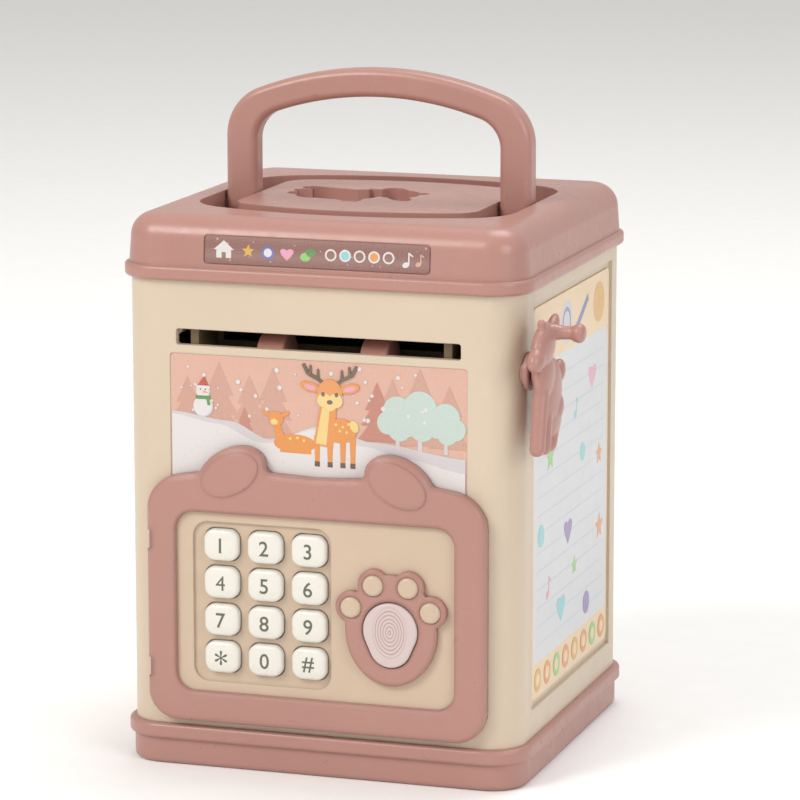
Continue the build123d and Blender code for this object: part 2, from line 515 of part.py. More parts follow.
def make_door_frame():
    y_front = FRONT - DOOR_GAP - DOOR_T
    frame = front_plate(door_outline(), y_front, DOOR_T)
    frame = fillet(frame.edges().group_by(Axis.Y)[0], DOOR_EDGE)
    for sign in (-1, 1):
        pad = front_plate(ear(sign, -1.6), y_front - EAR_RAISE, EAR_RAISE + 0.5)
        frame += fillet(pad.edges().group_by(Axis.Y)[0], 0.3)
    frame -= rounded_plate((-PANEL_X, PANEL_X), DOOR_PANEL_Z, PANEL_R, y_front - 1, DOOR_T + 2)
    # the hinge edge is a barrel about the hinge line, hollowed round each knuckle of the case
    edge = box((-DOOR_HALF - 1, HINGE_X), (y_front - 1, FRONT), (DOOR_Z0 - 1, DOOR_SHOULDER_Z))
    frame -= edge - rod_z(DOOR_T / 2, DOOR_Z0 - 2, DOOR_SHOULDER_Z + 1, HINGE_X, HINGE_Y)
    for z in KNUCKLE_Z:
        notch = KNUCKLE_H / 2 + KNUCKLE_GAP
        frame -= knuckle_sweep(z - notch, z + notch)
        reach = notch + HINGE_BITE + 0.3
        frame -= rod_z(HINGE_PIN_R + RUNNING, z - reach, z + reach, HINGE_X, HINGE_Y)
    return frame


def knuckle_sweep(z0, z1):
    """The space a knuckle and its foot take inside the door's edge as the door swings open."""
    radius = KNUCKLE_R + KNUCKLE_SIDE_GAP
    reach = DOOR_T
    sweep = rod_z(radius, z0, z1, HINGE_X, HINGE_Y)
    turns = (90, 90 + DOOR_SWING / 2, 90 + DOOR_SWING)
    for turn in (turns[0], turns[-1]):
        foot = Pos(reach / 2, 0, 0) * Box(reach, 2 * radius, z1 - z0)
        sweep += Pos(HINGE_X, HINGE_Y, (z0 + z1) / 2) * Rot(0, 0, turn) * foot
    rim = [(reach * cos(radians(turn)), reach * sin(radians(turn))) for turn in turns]
    fan = make_face(Polyline((0, 0), *rim, close=True))
    return sweep + Pos(HINGE_X, HINGE_Y, z0) * extrude(fan, z1 - z0)


def make_hinge_knuckles():
    knuckles = []
    for z in KNUCKLE_Z:
        z0, z1 = z - KNUCKLE_H / 2, z + KNUCKLE_H / 2
        foot = box((HINGE_X - KNUCKLE_R, HINGE_X + KNUCKLE_R), (HINGE_Y, FRONT), (z0, z1))
        knuckle = foot + rod_z(KNUCKLE_R, z0, z1, HINGE_X, HINGE_Y)
        knuckles.append(knuckle - rod_z(HINGE_PIN_R, z0 - 1, z1 + 1, HINGE_X, HINGE_Y))
    return Compound(children=knuckles)


def make_hinge_pins():
    reach = KNUCKLE_H / 2 + KNUCKLE_GAP + HINGE_BITE
    return Compound(children=[rod_z(HINGE_PIN_R, z - reach, z + reach, HINGE_X, HINGE_Y) for z in KNUCKLE_Z])


def box_bosses():
    return [(x, z) for x in (-BOX_BOSS_X, BOX_BOSS_X) for z in BOX_BOSS_Z]


def make_door_panel():
    plate = rounded_plate((-PANEL_X, PANEL_X), DOOR_PANEL_Z, PANEL_R, PANEL_FACE, BOX_BACK_Y - PANEL_FACE)
    inner_x, inner_z = PANEL_X - BOX_WALL, (DOOR_PANEL_Z[0] + BOX_WALL, DOOR_PANEL_Z[1] - BOX_WALL)
    hollow_y = PANEL_FACE + PANEL_T
    plate -= rounded_plate((-inner_x, inner_x), inner_z, PANEL_R - BOX_WALL, hollow_y, 20)
    plate -= rounded_plate(KEYPAD_X, KEYPAD_Z, KEYPAD_R, PANEL_FACE - 1, 1 + KEYPAD_SINK)
    for x in KEY_X:
        for z in KEY_Z:
            hole = RectangleRounded(KEY_W + 2 * KEY_GAP, KEY_H + 2 * KEY_GAP, KEY_R)
            plate -= front_plate(hole, PANEL_FACE - 1, 5, x, z)
    plate -= front_plate(pad_outline(PAD_GAP), PANEL_FACE - 1, 5, PAW_U, PAD_V)
    for x, z in box_bosses():
        plate += rod_y(BOX_BOSS_R, PANEL_FACE + PANEL_T / 2, BOX_BACK_Y, x, z)
        plate -= rod_y(SCREW_R, PANEL_FACE + PANEL_T, BOX_BACK_Y + 1, x, z)
    return plate - rod_x(BOLT_R + BOLT_HOLE_GAP, PANEL_X - 2 * BOX_WALL, PANEL_X + 1, LOCK_Y, LOCK_Z)


def make_door_back():
    cover = rounded_plate((-PANEL_X, PANEL_X), DOOR_PANEL_Z, PANEL_R, BOX_BACK_Y, COVER_T)
    for bx, bz in box_bosses():
        cover -= rod_y(SCREW_R + SCREW_PLAY, BOX_BACK_Y - 1, BOX_BACK_Y + COVER_T + 1, bx, bz)
        cover -= rod_y(SCREW_HEAD_R + 0.3, BOX_BACK_Y + 0.8, BOX_BACK_Y + COVER_T + 1, bx, bz)
    return cover


def make_key(x, z):
    cap_t = PANEL_FACE + PANEL_T + 0.2 - KEY_FACE
    cap = front_plate(RectangleRounded(KEY_W, KEY_H, KEY_R), KEY_FACE, cap_t, x, z)
    cap = fillet(cap.edges().group_by(Axis.Y)[0], 0.8)
    wide = RectangleRounded(KEY_W + 2 * KEY_FLANGE, KEY_H + 2 * KEY_FLANGE, KEY_R)
    return cap + front_plate(wide, PANEL_FACE + PANEL_T + 0.2, KEY_FLANGE_T, x, z)


def make_membrane():
    x = (KEY_X[0] - KEY_W / 2 - 0.2, KEY_X[-1] + KEY_W / 2 + 0.2)
    z = (KEY_Z[-1] - KEY_H / 2 - 0.2, KEY_Z[0] + KEY_H / 2 + 0.2)
    dome_y = PANEL_FACE + PANEL_T + 0.2 + KEY_FLANGE_T + KEY_TRAVEL + 0.1
    sheet_y = dome_y + 0.3
    sheet = box(x, (sheet_y, sheet_y + MEMBRANE_T), z)
    for kx in KEY_X:
        for kz in KEY_Z:
            sheet += rod_y(DOME_R, dome_y, sheet_y, kx, kz)
    return sheet, sheet_y + MEMBRANE_T


def make_keypad_board(y0):
    """The door's circuit board, with the little switch that the fingerprint pad works."""
    board_x = (-BOX_BOSS_X + 3.2, BOX_BOSS_X - 3.2)
    board_z = (DOOR_PANEL_Z[0] + 3.2, DOOR_PANEL_Z[1] - 3.2)
    board = box(board_x, (y0, y0 + BOARD_T), board_z)
    pad_back = PANEL_FACE + PANEL_T + 0.2 + KEY_FLANGE_T + PAD_TRAVEL
    board += box((PAW_U - 3, PAW_U + 3), (pad_back + 0.9, y0), (PAD_V - 3, PAD_V + 3))
    return board + rod_y(1.6, pad_back + 0.15, pad_back + 0.9, PAW_U, PAD_V)


def pad_outline(grow=0.0):
    """The egg-shaped fingerprint pad, about its own middle."""
    wide, tall = PAD_HALF_U + grow, PAD_HALF_V + grow
    upper = Pos(0, tall - wide) * Circle(wide)
    lower = Pos(0, -tall + wide * 0.78) * Circle(wide * 0.78)
    return make_hull(upper.edges() + lower.edges())


def make_fingerprint_pad():
    face_y = PANEL_FACE - PAW_RAISE - PAD_PROUD
    back_y = PANEL_FACE + PANEL_T + 0.2
    pad = front_plate(pad_outline(), face_y, back_y - face_y, PAW_U, PAD_V)
    pad = fillet(pad.edges().group_by(Axis.Y)[0], 0.6)
    return pad + front_plate(pad_outline(KEY_FLANGE + PAD_GAP), back_y, KEY_FLANGE_T, PAW_U, PAD_V)


def paw_outline():
    shape = Pos(PAW_U, PALM_V) * Ellipse(PALM_HALF_U, PALM_HALF_V)
    for u, v in TOES:
        shape += Pos(PAW_U + u, v) * Circle(TOE_LOBE_R)
    return shape


def make_paw_cover():
    cover = front_plate(paw_outline(), PANEL_FACE - PAW_RAISE, PAW_RAISE)
    cover = fillet(cover.edges().group_by(Axis.Y)[0], 0.5)
    cover -= front_plate(pad_outline(PAD_GAP), PANEL_FACE - 5, 8, PAW_U, PAD_V)
    for u, v in TOES:
        cover -= rod_y(TOE_R + 0.1, PANEL_FACE - 5, PANEL_FACE - PAW_RAISE + TOE_SINK, PAW_U + u, v)
    return cover


def make_toe_beads():
    beads = []
    for u, v in TOES:
        floor_y = PANEL_FACE - PAW_RAISE + TOE_SINK
        bead = rod_y(TOE_R, floor_y - TOE_SINK - TOE_PROUD, floor_y, PAW_U + u, v)
        beads.append(fillet(bead.edges().group_by(Axis.Y)[0], TOE_PROUD * 1.2))
    return Compound(children=beads)


# ---------------------------------------------------------------- lock, power and sound

def make_lock_coil():
    coil_y = (LOCK_Y - COIL_HALF_Y, LOCK_Y + COIL_HALF_Y)
    coil = box(COIL_X, coil_y, (LOCK_Z - COIL_HALF_Z, LOCK_Z + COIL_HALF_Z))
    return coil - rod_x(BOLT_R + RUNNING, COIL_X[0] - 1, COIL_X[1] + 1, LOCK_Y, LOCK_Z)


def make_lock_bolt():
    bolt = rod_x(BOLT_R, BOLT_X0, BOLT_X1, LOCK_Y, LOCK_Z)
    return chamfer(bolt.edges().group_by(Axis.X)[0], 0.6)


def cell_rows():
    return [CELL_MID_Y + CELL_PITCH * i for i in (-1, 0, 1)]


def make_batteries():
    cells = []
    for i, y in enumerate(cell_rows()):
        sign = 1 if i % 2 else -1
        cell = rod_x(CELL_R, -CELL_L / 2, CELL_L / 2, y, CELL_Z)
        cell = fillet(cell.edges().filter_by(GeomType.CIRCLE), 0.5)
        nub = sorted((sign * CELL_L / 2, sign * (CELL_L / 2 + CELL_NUB_L)))
        cells.append(cell + rod_x(CELL_NUB_R, nub[0], nub[1], y, CELL_Z))
    return Compound(children=cells)


def make_battery_box():
    y = (CELL_MID_Y - BAT_HALF_Y, CELL_MID_Y + BAT_HALF_Y)
    holder = box((-BAT_HALF_X, BAT_HALF_X), y, (BASE_FLOOR, BAT_TOP))
    inner_y = (y[0] + BAT_WALL, y[1] - BAT_WALL)
    inner_x = (-BAT_HALF_X + BAT_WALL, BAT_HALF_X - BAT_WALL)
    return holder - box(inner_x, inner_y, (BASE_FLOOR - 1, BAT_TOP - BAT_WALL))


def make_battery_contacts():
    """A contact plate at each end of each cell, against the ends of the battery box."""
    plates = []
    for i, y in enumerate(cell_rows()):
        for sign in (-1, 1):
            x = sorted((sign * (BAT_HALF_X - BAT_WALL), sign * (BAT_HALF_X - BAT_WALL - CONTACT_T)))
            plate = box(x, (y - 5, y + 5), (CELL_Z - 5, CELL_Z + 5))
            spring_end = (i % 2 == 0) == (sign > 0)
            if spring_end:
                tip = sorted((sign * (CELL_L / 2 + 0.1), sign * (BAT_HALF_X - BAT_WALL - CONTACT_T)))
                plate += rod_x(2.2, tip[0], tip[1], y, CELL_Z)
            plates.append(plate)
    return Compound(children=plates)


def make_battery_cover():
    cover_y = (CELL_MID_Y - COVER_HALF_Y, CELL_MID_Y + COVER_HALF_Y)
    cover = box((-COVER_HALF_X, COVER_HALF_X), cover_y, COVER_Z)
    for i in range(5):
        y = CELL_MID_Y - 8 + 4 * i
        cover -= box((-9, 9), (y - 0.6, y + 0.6), (COVER_Z[0] - 1, COVER_Z[0] + 0.6))
    return cover


def make_main_board():
    board = box(MAIN_X, (MAIN_Y - BOARD_T / 2, MAIN_Y + BOARD_T / 2), MAIN_Z)
    chip_y = (MAIN_Y - BOARD_T / 2 - 1.8, MAIN_Y - BOARD_T / 2)
    board += box((-32, -20), chip_y, (112, 120))
    board += box((-14, -8), chip_y, (108, 128))
    return board + rod_y(2.6, MAIN_Y - BOARD_T / 2 - 7, MAIN_Y - BOARD_T / 2, -38, 124)


def make_speaker():
    wall_y = REAR - WALL
    frame = rod_y(SPEAKER_R, wall_y - 2.2, wall_y, SPEAKER_X, SPEAKER_Z)
    magnet = rod_y(SPEAKER_R * 0.55, wall_y - SPEAKER_T, wall_y - 2, SPEAKER_X, SPEAKER_Z)
    cone = rod_y(SPEAKER_R - 2.5, wall_y - 1.2, wall_y + 1, SPEAKER_X, SPEAKER_Z)
    return frame + magnet - cone


# ---------------------------------------------------------------- write every sub-part

def placed_screws(places, length, turn):
    return Compound(children=[Pos(*place) * turn * screw(length) for place in places])


def main():
    os.makedirs("parts", exist_ok=True)
    write("front_shell", make_front_shell())
    write("rear_shell", make_rear_shell())
    write("base_tray", make_base_tray())
    write("lid", make_lid())
    write("lid_label", label_block(0, -STICKER_SINK, STICKER_T - STICKER_SINK))
    write("coin_chute", make_coin_chute())
    write("handle", make_handle())
    picture_front = FRONT + STICKER_SINK - STICKER_T
    picture_x = (-PICTURE_HALF, PICTURE_HALF)
    write("front_picture", rounded_plate(picture_x, PICTURE_Z, PICTURE_R, picture_front, STICKER_T))
    card_middle = (SIDE - PANEL_SINK, sum(CARD_Y) / 2, sum(CARD_Z) / 2)
    card_plane = Plane(origin=card_middle, x_dir=(0, 1, 0), z_dir=(1, 0, 0))
    card_outline = RectangleRounded(CARD_Y[1] - CARD_Y[0], CARD_Z[1] - CARD_Z[0], CARD_R)
    write("savings_card", extrude(card_plane * card_outline, CARD_T))

    write("roller_carrier", make_roller_carrier())
    write("drive_axle", rod_x(AXLE_R, -CARRIER_HALF - 3, SOCKET_DEPTH_X, AXLE_Y, AXLE_Z))
    write("feed_rollers", rollers(FEED_R, AXLE_R, AXLE_Z))
    write("drive_socket", make_drive_socket())
    write("pinch_axle", rod_x(PINCH_AXLE_R, -CARRIER_HALF - 2, CARRIER_HALF + 2, AXLE_Y, PINCH_Z))
    write("pinch_rollers", rollers(PINCH_R, PINCH_AXLE_R, PINCH_Z))
    write("crank_bush", make_crank_bush())
    write("crank", make_crank())

    write("door_frame", make_door_frame())
    write("hinge_knuckles", make_hinge_knuckles())
    write("door_hinge_pins", make_hinge_pins())
    write("door_panel", make_door_panel())
    write("door_back_cover", make_door_back())
    for names, z in zip(KEY_NAMES, KEY_Z):
        for name, x in zip(names, KEY_X):
            write(f"key_{name}", make_key(x, z))
    membrane, board_y = make_membrane()
    write("keypad_membrane", membrane)
    write("keypad_board", make_keypad_board(board_y))
    write("paw_cover", make_paw_cover())
    write("toe_beads", make_toe_beads())
    write("fingerprint_pad", make_fingerprint_pad())

    write("lock_coil", make_lock_coil())
    write("lock_bolt", make_lock_bolt())
    write("batteries", make_batteries())
    write("battery_box", make_battery_box())
    write("battery_contacts", make_battery_contacts())
    write("battery_cover", make_battery_cover())
    write("main_board", make_main_board())
    write("speaker", make_speaker())

    base_places = [(x, y, BASE_TOP - 6) for x, y in corners(POST_X, POST_Y)]
    write("base_screws", placed_screws(base_places, 16, Rot(0, 0, 0)))
    lid_places = [(x, y, BODY_TOP - EAR_T) for x, y in corners(POST_X, POST_Y)]
    write("lid_screws", placed_screws(lid_places, 10, Rot(0, 0, 0)))
    carrier_places = [(x, CARRIER_BACK_Y, CARRIER_BOSS_Z) for x in (-CARRIER_BOSS_X, CARRIER_BOSS_X)]
    write("carrier_screws", placed_screws(carrier_places, 12, Rot(90, 0, 0)))
    door_places = [(x, BOX_BACK_Y + 0.8, z) for x, z in box_bosses()]
    write("door_screws", placed_screws(door_places, 8, Rot(90, 0, 0)))


main()
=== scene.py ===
import json
import math
import random

import bmesh
import bpy
from mathutils import Matrix, Vector


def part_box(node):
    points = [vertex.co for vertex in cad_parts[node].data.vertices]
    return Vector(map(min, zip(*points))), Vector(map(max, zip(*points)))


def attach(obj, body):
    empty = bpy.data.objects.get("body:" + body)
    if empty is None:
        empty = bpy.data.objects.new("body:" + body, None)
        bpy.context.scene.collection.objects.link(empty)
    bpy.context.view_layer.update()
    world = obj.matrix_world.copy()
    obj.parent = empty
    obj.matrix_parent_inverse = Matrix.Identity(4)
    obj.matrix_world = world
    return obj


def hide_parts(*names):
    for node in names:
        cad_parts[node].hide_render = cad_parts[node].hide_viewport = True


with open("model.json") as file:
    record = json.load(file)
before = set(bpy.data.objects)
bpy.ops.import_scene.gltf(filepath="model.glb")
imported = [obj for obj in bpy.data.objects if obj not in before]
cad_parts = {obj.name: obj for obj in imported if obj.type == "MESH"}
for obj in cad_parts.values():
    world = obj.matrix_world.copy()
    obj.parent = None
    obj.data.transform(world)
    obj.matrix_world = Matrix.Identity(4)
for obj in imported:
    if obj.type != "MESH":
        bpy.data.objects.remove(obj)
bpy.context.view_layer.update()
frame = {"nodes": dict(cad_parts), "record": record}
nodes = frame["nodes"]
mm = 0.001
print("frame loaded:", len(nodes), "nodes")

# colours as they look on screen, 0 to 255
inks = {
    "rose": (167, 123, 113), "beige": (198, 181, 160), "panel": (191, 170, 148),
    "keyWhite": (216, 213, 204), "keySign": (92, 96, 82), "padPink": (196, 179, 177),
    "padRidge": (164, 132, 126), "sky": (196, 150, 131), "skyDeep": (182, 132, 114),
    "snow": (203, 198, 197), "snowShade": (188, 182, 184), "deer": (205, 128, 46),
    "deerLight": (214, 184, 112), "deerDark": (84, 56, 30), "tree": (172, 106, 86), "mint": (174, 189, 182),
    "red": (170, 62, 46), "green": (76, 126, 60), "orange": (204, 132, 52), "cream": (214, 186, 146),
    "paper": (194, 195, 198), "rule": (178, 188, 200), "purple": (124, 100, 160), "blue": (86, 96, 156),
    "cyan": (120, 184, 188), "pink": (206, 140, 166), "leaf": (126, 180, 96), "yellow": (198, 152, 44),
    "label": (126, 84, 76), "steel": (180, 180, 182), "copper": (168, 88, 46), "board": (36, 92, 56),
    "black": (28, 28, 30), "sleeve": (70, 78, 88), "silicone": (188, 186, 180), "inner": (176, 156, 132),
    # painted shade: the dark brown for the roller carrier stands in for the shade down inside the note slot
    "paintedSlotShade": (112, 96, 68), "rubber": (176, 120, 106), "nickel": (196, 194, 186),
}


def paint(name):
    # an ink as a linear colour with alpha
    shades = [c / 255 for c in inks[name]]
    return [c / 12.92 if c <= 0.04045 else ((c + 0.055) / 1.055) ** 2.4 for c in shades] + [1.0]


# shader node groups, shared by the materials
def addNode(tree, kind, values=None, **settings):
    node = tree.nodes.new("ShaderNode" + kind)
    for key, value in settings.items():
        setattr(node, key, value)
    for key, value in (values or {}).items():
        node.inputs[key].default_value = value
    return node


def startGroup(name, inputs, outputs):
    group = bpy.data.node_groups.new(name, "ShaderNodeTree")
    for label, kind, value in inputs:
        socket = group.interface.new_socket(name=label, in_out="INPUT", socket_type="NodeSocket" + kind)
        socket.default_value = value
    for label, kind in outputs:
        group.interface.new_socket(name=label, in_out="OUTPUT", socket_type="NodeSocket" + kind)
    return group, group.nodes.new("NodeGroupInput"), group.nodes.new("NodeGroupOutput")


bothWays = {"From Min": 0.3, "From Max": 0.7, "To Min": -1.0, "To Max": 1.0}  # noise spread about nought


def makeMouldedSkin():
    # slow drift of colour and gloss over a moulding, with the fine bead-blasted grain of its mould
    group, given, made = startGroup(
        "mouldedSkin",
        [("Colour", "Color", (0.8, 0.8, 0.8, 1)), ("Drift", "Float", 0.05), ("Grain Scale", "Float", 1400.0),
         ("Roughness", "Float", 0.35), ("Gloss Drift", "Float", 0.08)],
        [("Colour", "Color"), ("Roughness", "Float"), ("Height", "Float")])
    link = group.links.new
    place = addNode(group, "TexCoord")
    slow = addNode(group, "TexNoise", {"Scale": 22.0, "Detail": 3.0, "Roughness": 0.5})
    flow = addNode(group, "TexNoise", {"Scale": 160.0, "Detail": 4.0, "Distortion": 1.2})
    grain = addNode(group, "TexNoise", {"Detail": 2.0, "Roughness": 0.6})
    link(place.outputs["Object"], slow.inputs["Vector"])
    link(place.outputs["Object"], flow.inputs["Vector"])
    link(place.outputs["Object"], grain.inputs["Vector"])
    link(given.outputs["Grain Scale"], grain.inputs["Scale"])
    centred = addNode(group, "MapRange", bothWays)
    link(slow.outputs["Fac"], centred.inputs["Value"])
    swing = addNode(group, "Math", operation="MULTIPLY")
    link(centred.outputs["Result"], swing.inputs[0])
    link(given.outputs["Drift"], swing.inputs[1])
    value = addNode(group, "Math", {1: 1.0}, operation="ADD")
    link(swing.outputs[0], value.inputs[0])
    shaded = addNode(group, "HueSaturation")
    link(given.outputs["Colour"], shaded.inputs["Color"])
    link(value.outputs[0], shaded.inputs["Value"])
    link(shaded.outputs["Color"], made.inputs["Colour"])
    glossCentred = addNode(group, "MapRange", bothWays)
    link(flow.outputs["Fac"], glossCentred.inputs["Value"])
    glossSwing = addNode(group, "Math", operation="MULTIPLY")
    link(glossCentred.outputs["Result"], glossSwing.inputs[0])
    link(given.outputs["Gloss Drift"], glossSwing.inputs[1])
    gloss = addNode(group, "Math", operation="ADD")
    link(glossSwing.outputs[0], gloss.inputs[0])
    link(given.outputs["Roughness"], gloss.inputs[1])
    link(gloss.outputs[0], made.inputs["Roughness"])
    link(grain.outputs["Fac"], made.inputs["Height"])
    return group


def makeEdgeWear():
    # how much of a worn edge this spot is, broken up so that the wear isn't even
    group, given, made = startGroup("edgeWear", [("Radius", "Float", 0.0008), ("Amount", "Float", 0.5)],
                                    [("Mask", "Float"), ("Normal", "Vector")])
    link = group.links.new
    soft = addNode(group, "Bevel", samples=4)
    link(given.outputs["Radius"], soft.inputs["Radius"])
    shape = addNode(group, "NewGeometry")
    facing = addNode(group, "VectorMath", operation="DOT_PRODUCT")
    link(soft.outputs["Normal"], facing.inputs[0])
    link(shape.outputs["Normal"], facing.inputs[1])
    edge = addNode(group, "MapRange", {"From Min": 1.0, "From Max": 0.86, "To Min": 0.0, "To Max": 1.0})
    link(facing.outputs["Value"], edge.inputs["Value"])
    place = addNode(group, "TexCoord")
    breaks = addNode(group, "TexNoise", {"Scale": 260.0, "Detail": 4.0, "Roughness": 0.7})
    link(place.outputs["Object"], breaks.inputs["Vector"])
    patchy = addNode(group, "MapRange", {"From Min": 0.42, "From Max": 0.68})
    link(breaks.outputs["Fac"], patchy.inputs["Value"])
    worn = addNode(group, "Math", operation="MULTIPLY")
    link(edge.outputs["Result"], worn.inputs[0])
    link(patchy.outputs["Result"], worn.inputs[1])
    scaled = addNode(group, "Math", operation="MULTIPLY")
    link(worn.outputs[0], scaled.inputs[0])
    link(given.outputs["Amount"], scaled.inputs[1])
    link(scaled.outputs[0], made.inputs["Mask"])
    link(soft.outputs["Normal"], made.inputs["Normal"])
    return group


scratchRuns = ((0.3, 14.0), (1.2, 18.0), (2.2, 11.0))  # turn in radians and how far each is drawn out


def makeFineScratches():
    # short hairline scuffs in a few directions
    group, given, made = startGroup("fineScratches", [("Density", "Float", 0.5), ("Length", "Float", 90.0)],
                                    [("Mask", "Float")])
    link = group.links.new
    place = addNode(group, "TexCoord")
    total = None
    for turn, squeeze in scratchRuns:
        turned = addNode(group, "Mapping", {"Rotation": (turn, turn * 1.7, turn * 0.6),
                                            "Scale": (1.0, squeeze, 1.0)})
        link(place.outputs["Object"], turned.inputs["Vector"])
        streak = addNode(group, "TexNoise", {"Detail": 1.0, "Roughness": 0.4})
        link(turned.outputs["Vector"], streak.inputs["Vector"])
        link(given.outputs["Length"], streak.inputs["Scale"])
        thin = addNode(group, "MapRange", {"From Min": 0.68, "From Max": 0.74})
        link(streak.outputs["Fac"], thin.inputs["Value"])
        if total is None:
            total = thin.outputs["Result"]
        else:
            both = addNode(group, "Math", operation="MAXIMUM")
            link(total, both.inputs[0])
            link(thin.outputs["Result"], both.inputs[1])
            total = both.outputs[0]
    scaled = addNode(group, "Math", operation="MULTIPLY")
    link(total, scaled.inputs[0])
    link(given.outputs["Density"], scaled.inputs[1])
    link(scaled.outputs[0], made.inputs["Mask"])
    return group


def makeSettledDust():
    # a thin film of dust that lies on what faces up
    group, given, made = startGroup("settledDust", [("Amount", "Float", 0.1)], [("Mask", "Float")])
    link = group.links.new
    shape = addNode(group, "NewGeometry")
    parts = addNode(group, "SeparateXYZ")
    link(shape.outputs["Normal"], parts.inputs["Vector"])
    upward = addNode(group, "MapRange", {"From Min": 0.3, "From Max": 1.0})
    link(parts.outputs["Z"], upward.inputs["Value"])
    place = addNode(group, "TexCoord")
    specks = addNode(group, "TexNoise", {"Scale": 480.0, "Detail": 6.0, "Roughness": 0.8})
    link(place.outputs["Object"], specks.inputs["Vector"])
    patchy = addNode(group, "MapRange", {"From Min": 0.45, "From Max": 0.75})
    link(specks.outputs["Fac"], patchy.inputs["Value"])
    lying = addNode(group, "Math", operation="MULTIPLY")
    link(upward.outputs["Result"], lying.inputs[0])
    link(patchy.outputs["Result"], lying.inputs[1])
    scaled = addNode(group, "Math", operation="MULTIPLY")
    link(lying.outputs[0], scaled.inputs[0])
    link(given.outputs["Amount"], scaled.inputs[1])
    link(scaled.outputs[0], made.inputs["Mask"])
    return group


mouldedSkin = makeMouldedSkin()
edgeWear = makeEdgeWear()
fineScratches = makeFineScratches()
settledDust = makeSettledDust()


def useGroup(tree, group, values=None):
    node = tree.nodes.new("ShaderNodeGroup")
    node.node_tree = group
    for key, value in (values or {}).items():
        node.inputs[key].default_value = value
    return node


def startMaterial(name, **sockets):
    material = bpy.data.materials.new(name)
    material.use_nodes = True
    tree = material.node_tree
    shader = tree.nodes["Principled BSDF"]
    for key, value in sockets.items():
        shader.inputs[key.replace("_", " ")].default_value = value
    return material, tree, shader


def blend(tree, factor, first, second):
    # mixes two colours, each a socket or a fixed colour, by a factor socket
    mix = addNode(tree, "Mix", data_type="RGBA")
    tree.links.new(factor, mix.inputs["Factor"])  # its colours are inputs 6 and 7, and output 2
    for socket, value in ((mix.inputs[6], first), (mix.inputs[7], second)):
        if isinstance(value, bpy.types.NodeSocket):
            tree.links.new(value, socket)
        else:
            socket.default_value = value
    return mix.outputs[2]


wornShade = {"Saturation": 0.8, "Value": 1.25}
dustColour = (0.62, 0.58, 0.53, 1)
grainHeight = 0.05  # mm


def finishSurface(tree, shader, colour, look):
    # puts skin, wear, scratches, dust and grain on a base colour and joins them to the shader
    link = tree.links.new
    skin = useGroup(tree, mouldedSkin, {"Drift": look["drift"], "Grain Scale": look["grainScale"],
                                        "Roughness": look["roughness"], "Gloss Drift": look["glossDrift"]})
    if isinstance(colour, bpy.types.NodeSocket):
        link(colour, skin.inputs["Colour"])
    else:
        skin.inputs["Colour"].default_value = colour
    wear = useGroup(tree, edgeWear, {"Radius": look["edgeRadius"] * mm, "Amount": look["wear"]})
    scuffs = useGroup(tree, fineScratches, {"Density": look["scratches"]})
    dust = useGroup(tree, settledDust, {"Amount": look["dust"]})
    lighter = addNode(tree, "HueSaturation", wornShade)
    link(skin.outputs["Colour"], lighter.inputs["Color"])
    worn = blend(tree, wear.outputs["Mask"], skin.outputs["Colour"], lighter.outputs["Color"])
    scuffed = blend(tree, scuffs.outputs["Mask"], worn, lighter.outputs["Color"])
    dusty = blend(tree, dust.outputs["Mask"], scuffed, dustColour)
    link(dusty, shader.inputs["Base Color"])
    rougher = addNode(tree, "Math", {1: 0.25}, operation="MULTIPLY_ADD")  # a scuff is duller
    link(scuffs.outputs["Mask"], rougher.inputs[0])
    link(skin.outputs["Roughness"], rougher.inputs[2])
    link(rougher.outputs[0], shader.inputs["Roughness"])
    bump = addNode(tree, "Bump", {"Strength": look["grainDepth"], "Distance": grainHeight * mm})
    link(skin.outputs["Height"], bump.inputs["Height"])
    link(wear.outputs["Normal"], bump.inputs["Normal"])
    link(bump.outputs["Normal"], shader.inputs["Normal"])


satinPlastic = {
    "drift": 0.025, "roughness": 0.36, "glossDrift": 0.05,
    "grainScale": 1500.0, "grainDepth": 0.30,
    "edgeRadius": 0.5, "wear": 0.22,  # mm, and how much of an edge is worn
    "scratches": 0.06, "dust": 0.05,
}


def plastic(name, ink, **changes):
    look = {**satinPlastic, **changes}
    material, tree, shader = startMaterial(name, Specular_IOR_Level=0.5, IOR=1.5)
    finishSurface(tree, shader, paint(ink), look)
    return material


def metal(name, ink, roughness, stretch, metallic=1.0):
    # turned or drawn metal: fine lines along one direction, given by the stretch of the noise
    material, tree, shader = startMaterial(name, Metallic=metallic)
    link = tree.links.new
    place = addNode(tree, "TexCoord")
    turned = addNode(tree, "Mapping", {"Scale": stretch})
    link(place.outputs["Object"], turned.inputs["Vector"])
    lines = addNode(tree, "TexNoise", {"Scale": 900.0, "Detail": 3.0})
    link(turned.outputs["Vector"], lines.inputs["Vector"])
    shades = addNode(tree, "MapRange", {"To Min": roughness - 0.06, "To Max": roughness + 0.10})
    link(lines.outputs["Fac"], shades.inputs["Value"])
    link(shades.outputs["Result"], shader.inputs["Roughness"])
    dark = [c * 0.72 for c in paint(ink)[:3]] + [1]
    link(blend(tree, lines.outputs["Fac"], paint(ink), dark), shader.inputs["Base Color"])
    bump = addNode(tree, "Bump", {"Strength": 0.25, "Distance": 0.02 * mm})
    link(lines.outputs["Fac"], bump.inputs["Height"])
    link(bump.outputs["Normal"], shader.inputs["Normal"])
    return material


